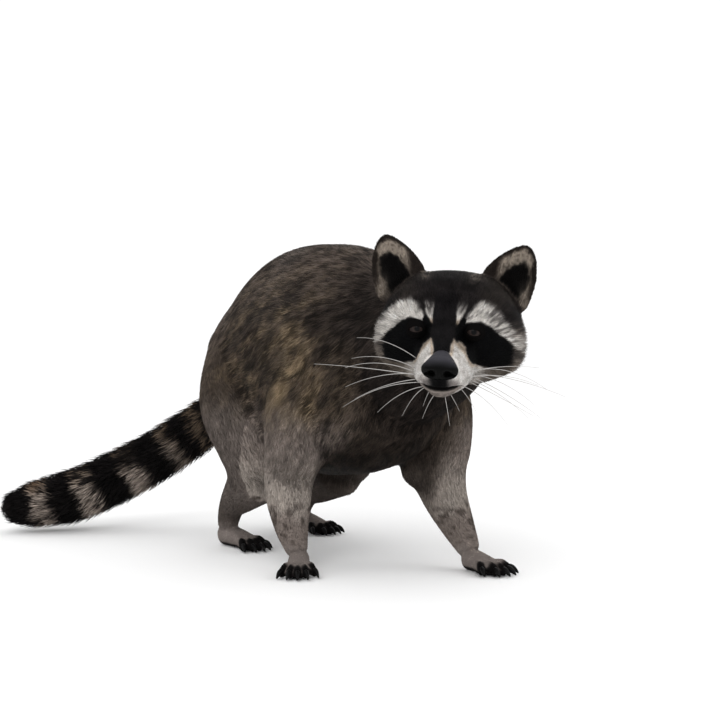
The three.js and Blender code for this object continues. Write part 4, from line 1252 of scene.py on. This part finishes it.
hair_length, hair_lift = np.array([HAIR_FORM[name.removesuffix("_l").removesuffix("_r")]
                                   for name in GROUPS], float)[owner].T
on_top = on_head & ~either_ear
facing = np.interp(face_ahead, (-30, 0, 25, 45, 62, 78), (10, 7.5, 5.5, 4, 3, 1.7))
cheek_edge = step_up(side + 0.35 * np.maximum(-face_above - 10, 0), 47, 58)
cheek_edge *= step_down(face_above, 8, 26) * step_up(face_ahead, -22, -6)
brow_zone = soft_spot(side, face_above, 40, 27, 18, 9) * step_up(face_ahead, 8, 20)
jowl = step_up(-face_above, 28, 40) * step_up(side, 12, 24)
head_length = (np.minimum(facing, 7) + 4.5 * cheek_edge + 1.5 * brow_zone - 2 * jowl).clip(1.6)
hair_length[on_top] = head_length[on_top]
hair_lift[on_top] = (0.13 + 0.2 * cheek_edge + 0.08 * brow_zone)[on_top]
hair_length[on_tail] = np.interp(along[on_tail], (0, 0.06, 0.24, 0.34), (11, 15, 15, 10))
hair_length[leg_low] = np.interp(points[leg_low, 2] / MM, (6, 24, 50, 110), (2.0, 3.2, 4.6, 7))
hair_length[either_ear], hair_lift[either_ear] = EAR_HAIR
hair_length, hair_lift = smooth_over_skin(np.stack([hair_length, hair_lift], 1), 10).T

# Bare places: the mouth, the nose, the eyes and lids, and the soles.
bald = mouth_depth(face_left, face_ahead, face_above) > 0.02
bald |= (np.hypot(side / 12.8, (face_above + 10.2) / 9.4) < 1) & (face_ahead > 64)
for left in (-1, 1):
    middle, outward, upward, forward = eye_axes(left)
    away = (points - middle) / MM
    off_eye = np.hypot(away @ outward, away @ upward) + 50 * (np.abs(away @ forward - 5) > 9)
    bald |= off_eye < 7.2
    hair_length = np.minimum(hair_length, 1.4 + 0.5 * np.maximum(off_eye - 7, 0))
bald |= (points[:, 2] < 2.0 * MM) & (normals[:, 2] < -0.5)

skin.data.calc_loop_triangles()
triangles = read(skin.data.loop_triangles, "vertices", 3, np.int32)
areas = read(skin.data.loop_triangles, "area", 1)[:, 0]


def lock_width(length):
    """Width of a lock at its root, in millimetres, from its length."""
    return 0.36 + 0.032 * length


def scatter(inside, count, rng):
    """Roots on the skin's triangles: how many fall on each is its area over the area of a lock there,
    scaled to the count; places within a triangle are random. Returns vertex triples and weights."""
    lock_area = hair_length * lock_width(hair_length)
    weight = (1 / lock_area)[triangles].mean(1) * areas * inside[triangles[:, 0]]
    weight[bald[triangles].any(1)] = 0
    total = np.cumsum(weight)
    marks = (np.arange(count) + rng.random(count)) / count * total[-1]
    chosen = triangles[np.searchsorted(total, marks).clip(0, len(triangles) - 1)]
    u, v = rng.random(count), rng.random(count)
    flip = u + v > 1
    u, v = np.where(flip, 1 - u, u), np.where(flip, 1 - v, v)
    return chosen, np.stack([1 - u - v, u, v], 1)


near_skin = KDTree(len(points))
for number, place in enumerate(points):
    near_skin.insert(place, number)
near_skin.balance()


def settle(at, lowest, highest):
    """Moves points along the normal of the nearest vertex of the skin, so that their heights over the skin
    lie between two bounds: hair rides over hollows and folds instead of running under them."""
    nearest = np.array([near_skin.find(place)[1] for place in at])
    height = ((at - points[nearest]) * normals[nearest]).sum(1)
    return at + normals[nearest] * (np.clip(height, lowest, highest) - height)[:, None]


# The corners of a blade, ring by ring, in its map's patch; its closed faces; and the brightness along it.
BLADES = {False: (((0, 0), (0.5, 0), (1, 0), (0.5, 1)),
                  ((0, 1, 2), (0, 3, 1), (1, 3, 2), (2, 3, 0)), (0.85, 0.85, 0.85, 1.3)),
          True: (((0, 0), (0.5, 0), (1, 0), (0, 0.5), (0.5, 0.5), (1, 0.5), (0.5, 1)),
                 ((0, 1, 2), (0, 4, 1), (0, 3, 4), (3, 6, 4), (1, 5, 2), (1, 4, 5), (4, 6, 5),
                  (2, 3, 0), (2, 5, 3), (5, 6, 3)), (0.6, 0.6, 0.6, 1.0, 1.0, 1.0, 1.25))}
ROOT_SUNK = 0.5 * MM
FLOOR_GAP = 0.0002
PATCH = 0.003


def blade_mesh(name, root, normal, lie_here, length, lift, width, bent):
    """Closed blades of three-sided section. The middle line is root + lie length s + normal length (lift s
    - 0.5 lift s squared), for s from 0 to 1, starting just under the skin; the width falls evenly to the
    tip. A bent blade has a second ring at half its length, a short one runs straight to its tip."""
    across = unit(np.cross(normal, lie_here))
    rings = []
    for s in (0, 0.5, 1) if bent else (0, 1):
        rise = length * lift * (s - 0.5 * s * s) - ROOT_SUNK * (1 - s)
        middle = root + lie_here * (length * s)[:, None] + normal * rise[:, None]
        if s:
            stand = 0.35 * MM * s + length * lift * s * (1 - 0.4 * s)
            middle = settle(middle, 0.7 * stand, 1.3 * stand + 0.3 * MM)
        half = (width * (0.5 - 0.22 * s))[:, None]
        ridge = [middle + across * half, middle + normal * half * 0.9, middle - across * half]
        rings.append(np.stack(ridge if s < 1 else [middle], 1))
    corners = np.concatenate(rings, 1)
    faces = np.array(BLADES[bent][1]) + np.arange(len(root))[:, None, None] * corners.shape[1]
    at = corners.reshape(-1, 3)
    at[:, 2] = np.maximum(at[:, 2], FLOOR_GAP)
    return add_mesh(name, at, faces.reshape(-1, 3))


def lay_map(mesh, home, bent):
    """The map OFBake: each lock is one small patch, 0.003 across, at its root's place on the hide
    unrolled."""
    low, high = home.min(0), home.max(0)
    corner = (home - low) / np.maximum(high - low, 1e-6) * (1 - 2 * PATCH) + PATCH / 2
    at = (corner[:, None] + np.array(BLADES[bent][0]) * PATCH).reshape(-1, 2)
    at = at[read(mesh.loops, "vertex_index", 1, np.int32)[:, 0]]
    mesh.uv_layers.new(name="OFBake").data.foreach_set("uv", at.astype(np.float32).ravel())


DARK_TIPS, DARK_TIP_LIGHT = 0.25, 0.45


def grow_coat(name, inside, count, seed, contrast, unrolled, finish, slot, bent=False, broad=1.0):
    """One piece of the coat: locks over the part of the skin marked by inside. Contrast is how much their
    brightness varies, singly and in drawn-out clumps, and unrolled gives the map's place of a root."""
    rng = np.random.default_rng(seed)
    count = count
    chosen, weights = scatter(inside, count, rng)

    def blend(values):
        return (values[chosen] * (weights[..., None] if values.ndim == 2 else weights)).sum(1)

    root = blend(points)
    normal = unit(blend(normals))
    across = np.cross(normal, blend(lie))
    direction = flatten(blend(lie) + across * rng.normal(0, 0.16, count)[:, None], normal)
    length = blend(hair_length) * rng.uniform(0.7, 1.25, count)
    lift = blend(hair_lift) * rng.uniform(0.6, 1.45, count)
    width = broad * lock_width(length) * rng.uniform(0.8, 1.25, count)
    half_way = root + direction * (0.5 * length * MM)[:, None]
    home = chosen[:, 0]
    shade = coat_colours(half_way, owner[home], along[home] + 0.55 * length * MM, leg_share[home])
    made = blade_mesh(name, root, normal, direction, length * MM, lift, width * MM, bent)
    streaks = drawn_out(*root.T)
    clump = 3.0 * (noise(streaks, 6 * MM, 72) - 0.5) + 5.6 * (noise(streaks, 3 * MM, 71) - 0.5)
    light = np.exp(rng.normal(0, contrast, count) + contrast * clump).clip(0.35, 2.0)
    ramp = np.array(BLADES[bent][2])
    dark_tip = rng.random(count) < DARK_TIPS
    ramp = np.where(dark_tip[:, None] & (ramp > 1.1), DARK_TIP_LIGHT, ramp)
    colours = shade[:, None] * light[:, None, None] * ramp[..., None]
    add_colours(made.data, np.clip(colours.reshape(-1, 3), 0, 1))
    lay_map(made.data, unrolled(home, root), bent)
    give(made, finish, slot)


def round_part(vertex, root):
    """The hide unrolled as a tube: angle round its part and place along it, legs stacked below one
    another."""
    return np.stack([angle[vertex] / (2 * math.pi), along[vertex] + 0.4 * leg_low[vertex]], 1)


def round_head(vertex, root):
    """The head unrolled as a globe, by its angles round the middle."""
    left, ahead, above = head_coordinates(root)
    return np.stack([np.arctan2(left, ahead), np.arctan2(above, np.hypot(left, ahead))], 1)


def over_foot(vertex, root):
    """The foot unrolled over its top, spread by its height."""
    return root[:, :2] + 0.4 * (root[:, 2:] - 0.01) * unit(normals[vertex])[:, :2]


FINISHES = (("body_hair", "coat"), ("face_hair", "face_coat"), ("foot_hair", "foot_coat"),
            ("tail_hair", "tail_coat"))
body_hair, face_hair, foot_hair, tail_hair = ((hair_material(name), slot) for name, slot in FINISHES)
face = on_top & (face_ahead > 12)
grow_coat("coat_face_l", face & (face_left >= 0), 29000, 1, 0.18, round_head, *face_hair)
grow_coat("coat_face_r", face & (face_left < 0), 29000, 2, 0.18, round_head, *face_hair)
grow_coat("coat_crown", on_top & ~face, 19000, 3, 0.25, round_head, *face_hair)
for k, tag in enumerate(SIDES):
    grow_coat("coat_ear_" + tag, ears[tag], 9000, 4 + k, 0.25, round_head, *face_hair)
grow_coat("coat_neck", on_neck, 22000, 6, 0.45, round_part, *body_hair)
third = np.digitize((points[:, 1] - PLAN_OFFSET[1]) / MM, (-60, 60))  # of the trunk, from the chest back
for k in range(3):
    grow_coat(f"coat_trunk_{k + 1}", on_trunk & (third == k), 40000, 7 + k, 0.75, round_part, *body_hair)
for k, foot in enumerate(FEET):
    upper, lower = owned_by(owner, "upper_" + foot), owned_by(owner, "lower_" + foot)
    low = lower & (points[:, 2] < 30 * MM)
    grow_coat("coat_thigh_" + foot, upper, 12000, 10 + k, 0.2, round_part, *body_hair)
    grow_coat("coat_shin_" + foot, lower & ~low, 7000, 14 + k, 0.14, round_part, *body_hair, broad=1.35)
    grow_coat("coat_foot_" + foot, low, 5000, 18 + k, 0.3, over_foot, *foot_hair, broad=1.2)
far = along > 0.17
grow_coat("coat_tail_1", on_tail & ~far, 8000, 22, 0.25, round_part, *tail_hair, bent=True, broad=1.5)
grow_coat("coat_tail_2", on_tail & far, 9000, 23, 0.25, round_part, *tail_hair, bent=True, broad=1.5)
